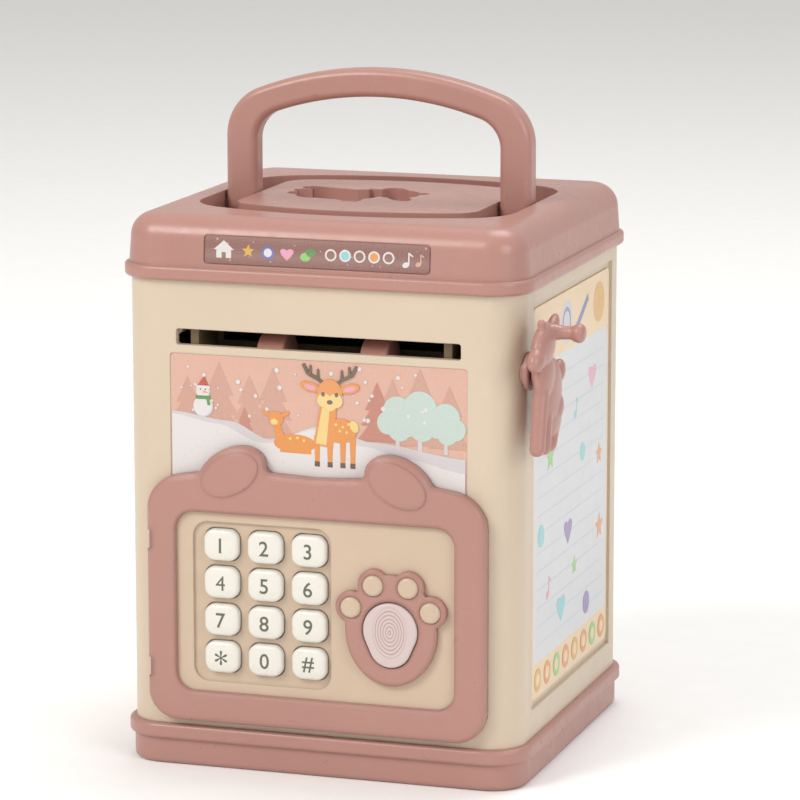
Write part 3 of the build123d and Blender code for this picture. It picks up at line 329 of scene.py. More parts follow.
def printedFilm(name, gloss):
    # ink from the piece's own colour attribute under a clear film, with a faint screen of dots
    material, tree, shader = startMaterial(name, Coat_Roughness=0.12, Specular_IOR_Level=0.45)
    link = tree.links.new
    ink = addNode(tree, "Attribute", attribute_name="ink", attribute_type="GEOMETRY")
    place = addNode(tree, "TexCoord")
    dots = addNode(tree, "TexVoronoi", {"Scale": 2600.0, "Randomness": 0.15})
    link(place.outputs["Object"], dots.inputs["Vector"])
    screen = addNode(tree, "MapRange", {"From Min": 0.25, "From Max": 0.6, "To Min": 0.0, "To Max": 0.10})
    link(dots.outputs["Distance"], screen.inputs["Value"])
    whiter = blend(tree, screen.outputs["Result"], ink.outputs["Color"], (0.9, 0.88, 0.84, 1))
    look = {**satinPlastic, "drift": 0.02, "roughness": gloss, "wear": 0.1, "edgeRadius": 0.1,
            "grainScale": 700.0, "grainDepth": 0.12, "dust": 0.0}
    finishSurface(tree, shader, whiter, look)
    coat = addNode(tree, "TexNoise", {"Scale": 60.0})
    link(place.outputs["Object"], coat.inputs["Vector"])
    clear = addNode(tree, "MapRange", {"To Min": 0.2, "To Max": 0.45})
    link(coat.outputs["Fac"], clear.inputs["Value"])
    link(clear.outputs["Result"], shader.inputs["Coat Weight"])
    return material


def boardMaterial():
    # green lacquer over copper tracks
    material, tree, shader = startMaterial("greenBoard")
    link = tree.links.new
    place = addNode(tree, "TexCoord")
    tracks = addNode(tree, "TexBrick", {"Scale": 260.0, "Mortar Size": 0.05, "Color1": paint("board"),
                                        "Color2": [c * 1.3 for c in paint("board")[:3]] + [1],
                                        "Mortar": [c * 2.2 for c in paint("board")[:3]] + [1]})
    turned = addNode(tree, "Mapping", {"Rotation": (math.pi / 2, 0, 0)})
    link(place.outputs["Object"], turned.inputs["Vector"])
    link(turned.outputs["Vector"], tracks.inputs["Vector"])
    finishSurface(tree, shader, tracks.outputs["Color"], {**satinPlastic, "roughness": 0.28, "wear": 0.1})
    return material


ridgedSizes = {"drop": 0.9, "inner": 5.6, "outer": 6.6, "ink": 0.75}  # mm, and how strong the ridges are


def ridgedPad():
    # pale pad with the whorls of a fingertip printed on it
    material, tree, shader = startMaterial("fingerPad")
    link = tree.links.new
    low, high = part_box("fingerprint_pad")
    middle = (low + high) / 2
    place = addNode(tree, "TexCoord")
    raised = -middle.z - ridgedSizes["drop"] * mm
    centred = addNode(tree, "Mapping", {"Location": (-middle.x, -middle.y, raised)})
    link(place.outputs["Object"], centred.inputs["Vector"])
    flat = addNode(tree, "VectorMath", {1: (1.25, 0.0, 0.85)}, operation="MULTIPLY")
    link(centred.outputs["Vector"], flat.inputs[0])
    rings = addNode(tree, "TexWave", {"Scale": 330.0, "Distortion": 2.2, "Detail": 1.0, "Detail Scale": 0.35},
                    wave_type="RINGS", rings_direction="SPHERICAL")
    link(flat.outputs["Vector"], rings.inputs["Vector"])
    lines = addNode(tree, "MapRange", {"From Min": 0.55, "From Max": 0.75})
    link(rings.outputs["Fac"], lines.inputs["Value"])
    reach = addNode(tree, "VectorMath", operation="LENGTH")
    link(flat.outputs["Vector"], reach.inputs[0])
    inside = addNode(tree, "MapRange", {"From Min": ridgedSizes["outer"] * mm,
                                        "From Max": ridgedSizes["inner"] * mm})
    link(reach.outputs["Value"], inside.inputs["Value"])
    printed = addNode(tree, "Math", operation="MULTIPLY")
    link(lines.outputs["Result"], printed.inputs[0])
    link(inside.outputs["Result"], printed.inputs[1])
    soft = addNode(tree, "Math", {1: ridgedSizes["ink"]}, operation="MULTIPLY")
    link(printed.outputs[0], soft.inputs[0])
    colour = blend(tree, soft.outputs[0], paint("padPink"), paint("padRidge"))
    finishSurface(tree, shader, colour, {**satinPlastic, "roughness": 0.42, "wear": 0.1})
    return material


casePlastic = plastic("casePlastic", "beige")
rosePlastic = plastic("rosePlastic", "rose", roughness=0.32, wear=0.28)
panelPlastic = plastic("panelPlastic", "panel")
keyPlastic = plastic("keyPlastic", "keyWhite", roughness=0.30, wear=0.0, drift=0.01, dust=0.02)
signPaint = plastic("signPaint", "keySign", roughness=0.45, wear=0.0, edgeRadius=0.05)
innerPlastic = plastic("innerPlastic", "inner", roughness=0.5, grainDepth=0.5)
# painted shade: a dark material for the roller carrier, standing in for the shade inside the note slot
carrierPaintedShade = plastic("carrierPaintedShade", "paintedSlotShade", roughness=0.6, grainDepth=0.5)
softRose = plastic("softRose", "rose", roughness=0.32, wear=0.04, edgeRadius=2.2)
rollerRubber = plastic("rollerRubber", "rubber", roughness=0.62, grainDepth=0.8, grainScale=900.0)
siliconeSheet = plastic("siliconeSheet", "silicone", roughness=0.55)
blackPlastic = plastic("blackPlastic", "black", roughness=0.5)
sleeveFilm = plastic("sleeveFilm", "sleeve", roughness=0.25)
steel = metal("turnedSteel", "steel", 0.26, (0.15, 1.0, 1.0))
nickel = metal("nickelPlate", "nickel", 0.2, (1.0, 1.0, 0.2))
winding = metal("copperWinding", "copper", 0.35, (6.0, 0.05, 0.05), 0.8)
greenBoard = boardMaterial()
fingerPad = ridgedPad()
pictureFilm = printedFilm("pictureFilm", 0.30)
cardFilm = printedFilm("cardFilm", 0.42)
print("materials made")

# every CAD node's material
finishes = {
    "case_plastic": casePlastic, "rose_plastic": rosePlastic, "panel_plastic": panelPlastic,
    "key_plastic": keyPlastic, "pad_plastic": fingerPad, "inner_plastic": innerPlastic,
    "picture_film": pictureFilm, "label_film": pictureFilm, "card_print": cardFilm,
    "roller_rubber": rollerRubber, "membrane_rubber": siliconeSheet, "steel": steel,
    "contact_metal": nickel, "coil_winding": winding, "cell_sleeve": sleeveFilm,
    "circuit_board": greenBoard, "speaker_frame": blackPlastic,
}
for part in frame["record"]["subparts"]:
    mesh = nodes[part["node"]].data
    mesh.materials.clear()
    mesh.materials.append(finishes[part["material_slot"]])
# the roller carrier is inner plastic, painted dark here as painted shade for the inside of the note slot
nodes["roller_carrier"].data.materials[0] = carrierPaintedShade
for name in ("door_frame", "paw_cover"):
    nodes[name].data.materials[0] = softRose
print("CAD nodes painted")


# modelling helpers
def makePiece(bm, name, material, body, stands=(), creaseAngle=35):
    mesh = bpy.data.meshes.new(name)
    bm.normal_update()
    bm.to_mesh(mesh)
    bm.free()
    mesh.polygons.foreach_set("use_smooth", [True] * len(mesh.polygons))
    mesh.set_sharp_from_angle(angle=math.radians(creaseAngle))
    mesh.materials.append(material)
    piece = bpy.data.objects.new(name, mesh)
    bpy.context.scene.collection.objects.link(piece)
    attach(piece, body)
    if stands:
        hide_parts(*stands)
    return piece


def facing(origin, across, up, outward):
    # places flat work drawn in millimetres: x runs across, y up and z outward
    turn = Matrix((across, up, outward)).transposed().to_4x4()
    return Matrix.Translation(origin) @ turn @ Matrix.Scale(mm, 4)


class Printing:
    # flat work printed on a film: each shape is a thin closed step, a little higher than the one under it
    def __init__(self, step=0.004):
        self.bm = bmesh.new()
        self.ink = self.bm.loops.layers.float_color.new("ink")
        self.step = step
        self.level = 0

    def raiseFace(self, face, ink, base=0.0, top=None):
        self.level += 1
        lift = top if top is not None else self.step * self.level
        grown = bmesh.ops.extrude_face_region(self.bm, geom=[face])["geom"]
        upper = [v for v in grown if isinstance(v, bmesh.types.BMVert)]
        bmesh.ops.translate(self.bm, vec=(0, 0, lift - base), verts=upper)
        shown = {f for v in upper for f in v.link_faces} | {face}
        bmesh.ops.recalc_face_normals(self.bm, faces=list(shown))
        for each in shown:
            for loop in each.loops:
                loop[self.ink] = paint(ink)

    def polygon(self, points, ink, base=0.0, top=None):
        face = self.bm.faces.new([self.bm.verts.new((u, v, base)) for u, v in points])
        self.raiseFace(face, ink, base, top)

    def disc(self, u, v, radius, ink, tall=1.0, turn=0.0, sides=26):
        place = Matrix.Translation((u, v, 0)) @ Matrix.Rotation(math.radians(turn), 4, "Z")
        place = place @ Matrix.Diagonal((1, tall, 1, 1))
        round_ = bmesh.ops.create_circle(self.bm, cap_ends=True, segments=sides, radius=radius, matrix=place)
        self.raiseFace(round_["verts"][0].link_faces[0], ink)

    def bar(self, u0, v0, u1, v1, width, ink, narrow=1.0):
        run = Vector((u1 - u0, v1 - v0)).normalized()
        side = Vector((-run.y, run.x)) * width / 2
        end = side * narrow
        self.polygon([(u0 - side.x, v0 - side.y), (u1 - end.x, v1 - end.y),
                      (u1 + end.x, v1 + end.y), (u0 + side.x, v0 + side.y)], ink)

    def roundedBox(self, low, high, radius, ink, base=0.0, top=None):
        right, left = high[0] - radius, low[0] + radius
        rear, near = high[1] - radius, low[1] + radius
        points = []
        for cu, cv, start in ((right, rear, 0), (left, rear, 90), (left, near, 180), (right, near, 270)):
            for i in range(5):
                angle = math.radians(start + 22.5 * i)
                points.append((cu + radius * math.cos(angle), cv + radius * math.sin(angle)))
        self.polygon(points, ink, base, top)

    def star(self, u, v, radius, ink):
        points = []
        for i in range(10):
            reach = radius if i % 2 == 0 else radius * 0.45
            angle = math.radians(90 + 36 * i)
            points.append((u + reach * math.cos(angle), v + reach * math.sin(angle)))
        self.polygon(points, ink)

    def heart(self, u, v, size, ink):
        points = []
        for i in range(24):
            t = math.tau * i / 24
            across = size * 0.55 * math.sin(t) ** 3 * 1.8
            rise = size * (0.8 * math.cos(t) - 0.3 * math.cos(2 * t) - 0.1 * math.cos(3 * t))
            points.append((u + across, v + rise))
        self.polygon(points, ink)

    def musicNote(self, u, v, size, ink):
        self.disc(u, v, size * 0.3, ink, 0.75, 20)
        self.bar(u + size * 0.25, v, u + size * 0.25, v + size, size * 0.12, ink)
        self.bar(u + size * 0.22, v + size * 0.95, u + size * 0.62, v + size * 0.7, size * 0.18, ink, 0.5)


filmSink = 0.02  # mm that a print lies below its recess's face


def sketch(u, v, size):
    # turns a drawing's own units into places on the print
    return lambda a, b: (u + a * size, v + b * size)


def filmSlab(printing, low, high, radius, thickness, ink):
    printing.roundedBox(low, high, radius, ink, -thickness, 0.0)
    printing.level = 0


# the winter picture under the note slot
pictureSizes = {"thickness": 0.28, "radius": 1.1, "spread": 0.27, "margin": 0.4, "flakes": 40, "seed": 7}
farPines = ((-38.5, 17), (-29, 21), (-20, 18), (-13, 20), (22, 19), (30, 22), (38.5, 18))  # across, height
nearPines = ((-21.5, -5.5, 9), (-25, -6.0, 6), (17.5, -5.0, 17))  # across, up, height
frostedTrees = ((23.5, 13.0), (30.0, 14.5), (37.5, 12.0))
# the tops of the snow, from the left edge to the right
pictureBanks = (
    (((-44, 2.4), (-26, 0.4), (-14, -4.2), (2, 0.6), (16, -3.2), (44, -6.4)), "snowShade"),
    (((-44, 1.6), (-30, -0.6), (-16, -5.4), (0, -0.6), (14, -4.6), (26, -7.4), (44, -10.5)), "snow"),
)


def deer(printing, u, v, size):
    # a plain deer that looks out of the picture, its body turned to the right
    at = sketch(u, v, size)
    for a in (-0.13, 0.0, 0.13, 0.23):
        printing.bar(*at(a, 0.30), *at(a, 0.02), 0.062 * size, "deer", 0.7)
        printing.bar(*at(a, 0.05), *at(a, 0.0), 0.05 * size, "deerDark")
    printing.disc(*at(0.10, 0.36), 0.165 * size, "deer", 0.72)
    printing.disc(*at(0.245, 0.41), 0.04 * size, "deerLight", 1.5, 24)
    printing.bar(*at(-0.07, 0.20), *at(-0.01, 0.62), 0.20 * size, "deer", 0.8)
    printing.bar(*at(-0.09, 0.22), *at(-0.04, 0.58), 0.11 * size, "deerLight", 0.7)
    for a, b in ((0.06, 0.42), (0.13, 0.40), (0.19, 0.43), (0.10, 0.36), (0.17, 0.35)):
        printing.disc(*at(a, b), 0.014 * size, "deerLight", sides=12)
    for side in (-1, 1):
        printing.disc(*at(side * 0.20, 0.775), 0.10 * size, "deer", 0.46, side * 14)
        printing.disc(*at(side * 0.20, 0.77), 0.06 * size, "pink", 0.4, side * 14)
        stem = [at(side * a, b) for a, b in ((0.05, 0.80), (0.13, 0.86), (0.22, 0.90), (0.27, 0.995))]
        for low, high in zip(stem, stem[1:]):
            printing.bar(*low, *high, 0.036 * size, "deerDark", 0.85)
        for rootA, rootB, tipA, tipB in ((0.12, 0.85, 0.12, 0.95), (0.20, 0.89, 0.195, 0.985)):
            printing.bar(*at(side * rootA, rootB), *at(side * tipA, tipB), 0.03 * size, "deerDark", 0.6)
    printing.disc(*at(0, 0.72), 0.125 * size, "deer", 1.1)
    for side in (-1, 1):
        printing.disc(*at(side * 0.058, 0.65), 0.07 * size, "deerLight")
        printing.disc(*at(side * 0.068, 0.71), 0.019 * size, "deerDark", 1.2)
    printing.disc(*at(0, 0.605), 0.066 * size, "deerLight", 0.9)
    printing.disc(*at(0, 0.635), 0.03 * size, "deerDark", 0.75)


def lyingFawn(printing, u, v, size):
    at = sketch(u, v, size)
    printing.disc(*at(0, 0.20), 0.46 * size, "deer", 0.42)
    printing.bar(*at(-0.32, 0.06), *at(0.36, 0.03), 0.11 * size, "deer", 0.7)
    printing.bar(*at(-0.30, 0.26), *at(-0.40, 0.60), 0.20 * size, "deer", 0.7)
    for side in (-1, 1):
        printing.disc(*at(-0.41 + side * 0.2, 0.80), 0.11 * size, "deer", 0.42, side * 28)
    printing.disc(*at(-0.41, 0.70), 0.16 * size, "deer", 0.95)
    printing.disc(*at(-0.45, 0.63), 0.08 * size, "deerLight", 0.8)
    for a, b in ((-0.1, 0.30), (0.06, 0.32), (0.2, 0.27)):
        printing.disc(*at(a, b), 0.03 * size, "deerLight")


def snowman(printing, u, v, size):
    at = sketch(u, v, size)
    for a, b, radius, ink in ((0, 0.34, 0.36, "snowShade"), (-0.02, 0.36, 0.34, "snow"),
                              (0, 0.86, 0.25, "snowShade"), (-0.015, 0.875, 0.235, "snow")):
        printing.disc(*at(a, b), radius * size, ink)
    printing.bar(*at(-0.26, 0.66), *at(0.26, 0.66), 0.13 * size, "green")
    printing.bar(*at(0.16, 0.66), *at(0.22, 0.40), 0.11 * size, "green")
    printing.polygon([at(-0.22, 1.02), at(0.22, 1.02), at(0.04, 1.42)], "red")
    printing.bar(*at(-0.25, 1.02), *at(0.25, 1.02), 0.10 * size, "snow")
    printing.disc(*at(0.04, 1.44), 0.07 * size, "snow")
    printing.bar(*at(0, 0.86), *at(0.20, 0.83), 0.07 * size, "orange", 0.2)
    for side in (-1, 1):
        printing.disc(*at(side * 0.09, 0.94), 0.026 * size, "deerDark")


def roundTree(printing, u, v, size, ink, trunk):
    printing.bar(u, v, u, v + 0.5 * size, 0.1 * size, trunk, 0.6)
    for a, b, r in ((0, 0.85, 0.34), (-0.22, 0.62, 0.24), (0.23, 0.60, 0.25), (0.04, 0.50, 0.26)):
        printing.disc(u + a * size, v + b * size, r * size, ink, 1.05)


def pineTree(printing, u, v, size, ink):
    for i in range(3):
        half = (0.34 - 0.07 * i) * size
        low = v + (0.12 + 0.26 * i) * size
        printing.polygon([(u - half, low), (u + half, low), (u, low + 0.46 * size)], ink)


def snowBank(printing, half, floor, points, ink):
    # a bank of snow from one side of the picture to the other, its top eased between the given points
    count = 48
    top = []
    for i in range(count + 1):
        u = half - 2 * half * i / count
        for (u0, v0), (u1, v1) in zip(points, points[1:]):
            if u0 <= u <= u1:
                t = (u - u0) / (u1 - u0)
                top.append((u, v0 + (v1 - v0) * (3 - 2 * t) * t * t))
                break
    printing.polygon([(-half, floor), (half, floor)] + top, ink)


def makePicture():
    low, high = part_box("front_picture")
    spread, margin = pictureSizes["spread"], pictureSizes["margin"]
    half, floor = (high.x - low.x) / 2 / mm + spread, (low.z - high.z) / 2 / mm - spread
    inner = half - margin
    printing = Printing()
    radius, thickness = pictureSizes["radius"], pictureSizes["thickness"]
    filmSlab(printing, (-half, floor), (half, -floor), radius, thickness, "sky")
    for u, size in farPines:
        pineTree(printing, u, -6, size, "skyDeep")
    for u, v, size in nearPines:
        pineTree(printing, u, v, size, "tree")
    for u, size in frostedTrees:
        roundTree(printing, u, -5.5, size, "mint", "snowShade")
    rng = random.Random(pictureSizes["seed"])
    for _ in range(pictureSizes["flakes"]):
        u = rng.uniform(-inner + 1, inner - 1)
        v = rng.uniform(2, -floor - 1.5)
        printing.disc(u, v, rng.uniform(0.25, 0.7), "snow", sides=12)
        printing.level -= 1  # the flakes all lie at one height
    printing.level += 1
    for points, ink in pictureBanks:
        snowBank(printing, inner, floor + margin, points, ink)
    snowman(printing, -33.8, 1.2, 8.2)
    lyingFawn(printing, -6.6, -7.6, 13.5)
    deer(printing, 3.8, -11.0, 29.0)
    middle = Vector((0, low.y + filmSink * mm, (low.z + high.z) / 2))
    printing.bm.transform(facing(middle, (1, 0, 0), (0, 0, 1), (0, -1, 0)))
    makePiece(printing.bm, "winter_picture", pictureFilm, "case", ["front_picture"])


makePicture()


# the label strip in the lid's front
labelSizes = {"radius": 1.2, "thickness": 0.28, "lean": 0.3, "specks": 26, "seed": 11,
              "rings": 5, "ringStep": 4.2}


def makeLabel():
    low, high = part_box("lid_label")
    lean = labelSizes["lean"] * mm
    draft = math.atan2(high.y - low.y - lean, high.z - low.z)
    half, tall = (high.x - low.x) / 2 / mm, (high.z - low.z) / mm / math.cos(draft)
    printing = Printing()
    radius, thickness = labelSizes["radius"], labelSizes["thickness"]
    filmSlab(printing, (-half, -tall / 2), (half, tall / 2), radius, thickness, "label")
    rng = random.Random(labelSizes["seed"])
    for _ in range(labelSizes["specks"]):
        u, v = rng.uniform(-half + 1, half - 1), rng.uniform(-tall / 2 + 0.7, tall / 2 - 0.7)
        printing.disc(u, v, rng.uniform(0.14, 0.3), "sky", sides=8)
        printing.level -= 1  # the specks all lie at one height
    printing.level += 1
    # a small house, then a row of plain signs and rings
    printing.polygon([(-29.4, -2.2), (-25.0, -2.2), (-25.0, 0.3), (-29.4, 0.3)], "snow")
    printing.polygon([(-30.2, 0.1), (-24.2, 0.1), (-27.2, 2.7)], "snow")
    printing.polygon([(-27.8, -2.2), (-26.6, -2.2), (-26.6, -0.6), (-27.8, -0.6)], "label")
    printing.star(-20.0, 0.0, 1.9, "yellow")
    printing.disc(-14.2, -0.2, 1.9, "blue")
    printing.disc(-14.2, -0.2, 1.2, "snow")
    printing.heart(-8.6, -0.2, 2.0, "pink")
    printing.disc(-3.2, -0.9, 1.5, "leaf", 0.8)
    printing.disc(-1.6, 0.4, 1.5, "green", 0.8)
    for i in range(labelSizes["rings"]):
        u = 4.2 + labelSizes["ringStep"] * i
        printing.disc(u, 0, 1.7, "snow")
        printing.disc(u, 0, 1.2, ("label", "cyan", "label", "orange")[i % 4])
    printing.musicNote(26.0, -1.7, 3.4, "snow")
    printing.musicNote(29.6, -1.4, 2.8, "sky")
    up = Vector((0, math.sin(draft), math.cos(draft)))
    outward = Vector((0, -math.cos(draft), math.sin(draft)))
    middle = Vector((0, low.y + (high.y - low.y - lean) / 2, (low.z + high.z) / 2))
    printing.bm.transform(facing(middle + outward * -0.01 * mm, (1, 0, 0), up, outward))
    makePiece(printing.bm, "lid_label_print", pictureFilm, "case", ["lid_label"])


makeLabel()


# the savings card on the crank side
cardSizes = {"radius": 2.0, "thickness": 0.46, "side": 1.4, "foot": 10, "head": 17,
             "rules": 15, "ruleWidth": 0.4, "beads": 8, "beadRadius": 3.4}
# little signs in place of its text: across, up, size, kind, ink
cardMarks = (
    (22, 27, 4.2, "heart", "pink"), (4, 20, 3.0, "note", "cyan"), (-22, 11, 4.4, "star", "leaf"),
    (12, 6, 3.4, "disc", "cyan"), (30, 2, 3.4, "star", "orange"), (-31, -10, 4.0, "disc", "cyan"),
    (-3, -14, 4.2, "heart", "purple"), (31, -20, 4.2, "star", "orange"), (-24, -27, 3.2, "note", "pink"),
    (-10, -35, 4.4, "heart", "cyan"), (17, -40, 4.2, "disc", "purple"), (4, -26, 2.8, "star", "leaf"),
    (-30, 25, 2.8, "disc", "pink"),
)


def makeCard():
    low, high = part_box("savings_card")
    half, rise = (high.y - low.y) / 2 / mm, (high.z - low.z) / 2 / mm
    side, foot, head = cardSizes["side"], cardSizes["foot"], cardSizes["head"]
    printing = Printing()
    filmSlab(printing, (-half, -rise), (half, rise), cardSizes["radius"], cardSizes["thickness"], "cream")
    printing.roundedBox((-half + side, -rise + foot), (half - side, rise - head), 2.5, "paper")
    # header: a pale ball, a pencil stroke and a gold coin in place of the title
    for radius, ink in ((6.4, "snowShade"), (4.4, "purple"), (3.2, "snowShade")):
        printing.disc(-6, rise - 9, radius, ink)
    printing.bar(0, rise - 15, 17, rise - 5, 2.6, "blue", 0.8)
    printing.disc(half - 11, rise - 8.5, 6.0, "yellow")
    printing.star(half - 11, rise - 8.5, 3.2, "orange")
    rules = cardSizes["rules"]
    for i in range(rules):
        v = rise - 23 - i * (2 * rise - 38) / (rules - 1)
        printing.bar(-half + 5, v, half - 5, v, cardSizes["ruleWidth"], "rule")
        printing.level -= 1  # the rules all lie at one height
    printing.level += 1
    for u, v, size, kind, ink in cardMarks:
        if kind == "heart":
            printing.heart(u, v, size, ink)
        elif kind == "star":
            printing.star(u, v, size, ink)
        elif kind == "disc":
            printing.disc(u, v, size * 0.8, ink)
        else:
            printing.musicNote(u, v - size * 0.5, size * 1.6, ink)
    beads = cardSizes["beads"]
    for i in range(beads):
        u = -half + 6 + i * (2 * half - 12) / (beads - 1)
        printing.disc(u, -rise + 5, cardSizes["beadRadius"], ("yellow", "orange", "leaf", "orange")[i % 4])
        printing.disc(u, -rise + 5, 1.8, "cream")
    middle = Vector((high.x - filmSink * mm, (low.y + high.y) / 2, (low.z + high.z) / 2))
    printing.bm.transform(facing(middle, (0, 1, 0), (0, 0, 1), (1, 0, 0)))
    makePiece(printing.bm, "savings_card_print", cardFilm, "case", ["savings_card"])


makeCard()
print("printed pieces made")


# keys: a soft pillow cap with its sign printed on top
keySizes = {"cornerRadius": 3.0, "rim": 1.3, "rimDepth": 0.8, "dome": 0.3, "flange": 0.6, "flangeDepth": 0.8,
            "signHeight": 6.0, "starHeight": 9.0, "signDepth": 0.1, "signWeight": 0.05, "signLift": 0.075}
domeSteps = ((1.7, 0.4), (2.2, 0.68), (2.8, 0.9), (3.4, 1.0))  # inset in mm, share of the dome's rise
keySigns = {"key_star": "*", "key_hash": "#", **{f"key_{n}": str(n) for n in range(10)}}


def roundedRing(wide, tall, radius, height, segments=6):
    # the points of a rounded rectangle about the origin, in millimetres
    ring = []
    for cu, cv, start in ((1, 1, 0), (-1, 1, 90), (-1, -1, 180), (1, -1, 270)):
        for i in range(segments + 1):
            angle = math.radians(start + 90 * i / segments)
            ring.append((cu * (wide / 2 - radius) + radius * math.cos(angle),
                         cv * (tall / 2 - radius) + radius * math.sin(angle), height))
    return ring


def loft(bm, rings):
    # a closed skin through rings of as many points each
    loops = []
    for ring in rings:
        spots = [bm.verts.new(point) for point in ring]
        loops.append([bm.edges.new((spots[i - 1], spots[i])) for i in range(len(spots))])
    for lower, upper in zip(loops, loops[1:]):
        bmesh.ops.bridge_loops(bm, edges=lower + upper)
    for end in (loops[0], loops[-1]):
        bmesh.ops.edgeloop_fill(bm, edges=end)
    bmesh.ops.recalc_face_normals(bm, faces=bm.faces[:])


def makeKey(name):
    low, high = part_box(name)
    flange, radius, rim = keySizes["flange"], keySizes["cornerRadius"], keySizes["rim"]
    wide, tall = (high.x - low.x) / mm - 2 * flange, (high.z - low.z) / mm - 2 * flange
    deep = (high.y - low.y) / mm
    shoulder, dome = keySizes["flangeDepth"], keySizes["dome"]
    rimRise = rim * keySizes["rimDepth"]
    start = deep - dome - rimRise
    rings = [roundedRing(wide + 2 * flange, tall + 2 * flange, radius, 0),
             roundedRing(wide + 2 * flange, tall + 2 * flange, radius, shoulder),
             roundedRing(wide, tall, radius, shoulder)]
    # the round of the rim, then the slow dome
    for i in range(7):
        angle = math.pi / 2 * i / 6
        inset, height = rim * (1 - math.cos(angle)), start + rimRise * math.sin(angle)
        rings.append(roundedRing(wide - 2 * inset, tall - 2 * inset, radius - inset, height))
    for inset, rise in domeSteps:
        height = deep - dome * (1 - rise)
        rings.append(roundedRing(wide - 2 * inset, tall - 2 * inset, max(radius - inset, 0.3), height))
    bm = bmesh.new()
    loft(bm, rings)
    middle = (low + high) / 2
    bm.transform(facing(Vector((middle.x, high.y, middle.z)), (1, 0, 0), (0, 0, 1), (0, -1, 0)))
    makePiece(bm, name + "_cap", keyPlastic, name, [name], creaseAngle=50)
    makeSign(name, middle, low.y)


def makeSign(name, middle, front):
    letter = bpy.data.curves.new(name + "_letter", "FONT")
    letter.body = keySigns[name]
    letter.align_x, letter.align_y = "CENTER", "CENTER"
    letter.size = keySizes["starHeight"] if name == "key_star" else keySizes["signHeight"]
    letter.extrude = keySizes["signDepth"]
    letter.offset = 0.0 if name == "key_4" else keySizes["signWeight"]  # more weight would close the 4
    holder = bpy.data.objects.new(name + "_letter", letter)
    bpy.context.scene.collection.objects.link(holder)
    bpy.context.view_layer.update()
    flat = bpy.data.meshes.new_from_object(holder.evaluated_get(bpy.context.evaluated_depsgraph_get()))
    bpy.data.objects.remove(holder)
    bm = bmesh.new()
    bm.from_mesh(flat)
    bpy.data.meshes.remove(flat)
    bmesh.ops.remove_doubles(bm, verts=bm.verts[:], dist=0.002)
    us = [v.co.x for v in bm.verts]
    vs = [v.co.y for v in bm.verts]
    bmesh.ops.translate(bm, vec=(-(min(us) + max(us)) / 2, -(min(vs) + max(vs)) / 2, 0), verts=bm.verts[:])
    spot = Vector((middle.x, front + keySizes["signLift"] * mm, middle.z))
    bm.transform(facing(spot, (1, 0, 0), (0, 0, 1), (0, -1, 0)))
    makePiece(bm, name + "_sign", signPaint, name)


for keyName in keySigns:
    makeKey(keyName)
print("keys made")


# the crank: a sitting fawn, its masses fused into one soft shape, on a square peg
# masses: middle across and up, half length, half width, tilt, half depth
crankMasses = (
    (-5.4, 8.4, 8.0, 6.0, 22, 2.75), (-12.4, 5.4, 4.2, 3.2, 24, 2.4), (3.4, 12.0, 5.0, 2.2, 38, 1.7),
    (-4.6, 0.0, 7.8, 6.4, 78, 2.6), (0.6, -6.6, 10.8, 8.7, 74, 2.75), (1.6, -13.4, 7.2, 5.6, 0, 2.7),
    (9.4, -1.4, 4.0, 2.4, 52, 2.0), (3.6, -10.2, 5.0, 4.2, 60, 3.2),
)
# limbs: from across and up to across and up, half width at each end
crankLimbs = (
    (-6.8, 12.0, -7.6, 14.8, 1.2, 1.2), (-7.4, -4.0, -11.0, -19.4, 2.3, 2.2),
    (-3.6, -8.0, -5.2, -20.0, 2.3, 2.2), (3.0, -16.0, 0.4, -20.0, 2.4, 2.3),
)
crankSizes = {
    "front": 61.2, "depth": 5.6, "axleY": -46.2, "axleZ": 118.0,
    "grain": 0.3, "smoothing": 6, "limbSteps": 14, "limbDepth": 2.3,
    "knobAt": (-2.4, 11.8),
    "knob": ((8.2, 0.0), (8.2, 1.5), (7.6, 2.4), (6.6, 2.8), (5.6, 2.5), (4.4, 1.9), (2.0, 1.9), (-1.2, 2.4),
             (-1.2, 0.0)),  # height, radius
    "collar": ((1.2, 0.0), (1.2, 4.1), (-0.9, 4.3), (-1.2, 4.0), (-1.2, 0.0)),
    "pegSide": 3.5, "pegLength": 10.4, "pegBevel": 0.3,
}


def addBlob(bm, place):
    bmesh.ops.create_uvsphere(bm, u_segments=32, v_segments=16, radius=1.0, matrix=place)


def lathe(bm, profile, place):
    # a closed turned shape about z from its (height, radius) profile
    turned = bmesh.new()
    spots = [turned.verts.new((radius, 0, height)) for height, radius in profile]
    run = [turned.edges.new(pair) for pair in zip(spots, spots[1:])]
    bmesh.ops.spin(turned, geom=spots + run, cent=(0, 0, 0), axis=(0, 0, 1), angle=math.tau, steps=32,
                   use_merge=True)
    bmesh.ops.remove_doubles(turned, verts=turned.verts[:], dist=0.001)
    bmesh.ops.recalc_face_normals(turned, faces=turned.faces[:])
    turned.transform(place)
    mesh = bpy.data.meshes.new("turned")
    turned.to_mesh(mesh)
    turned.free()
    bm.from_mesh(mesh)
    bpy.data.meshes.remove(mesh)


def fuse(bm, grain, smoothing):
    # melts the overlapping shapes into one skin and rounds the joins
    mesh = bpy.data.meshes.new("unfused")
    bm.to_mesh(mesh)
    bm.free()
    holder = bpy.data.objects.new("unfused", mesh)
    bpy.context.scene.collection.objects.link(holder)
    melt = holder.modifiers.new("melt", "REMESH")
    melt.mode, melt.voxel_size = "VOXEL", grain
    soft = holder.modifiers.new("soft", "SMOOTH")
    soft.factor, soft.iterations = 0.5, smoothing
    bpy.context.view_layer.update()
    melted = bpy.data.meshes.new_from_object(holder.evaluated_get(bpy.context.evaluated_depsgraph_get()))
    bpy.data.objects.remove(holder)
    bpy.data.meshes.remove(mesh)
    fused = bmesh.new()
    fused.from_mesh(melted)
    bpy.data.meshes.remove(melted)
    return fused


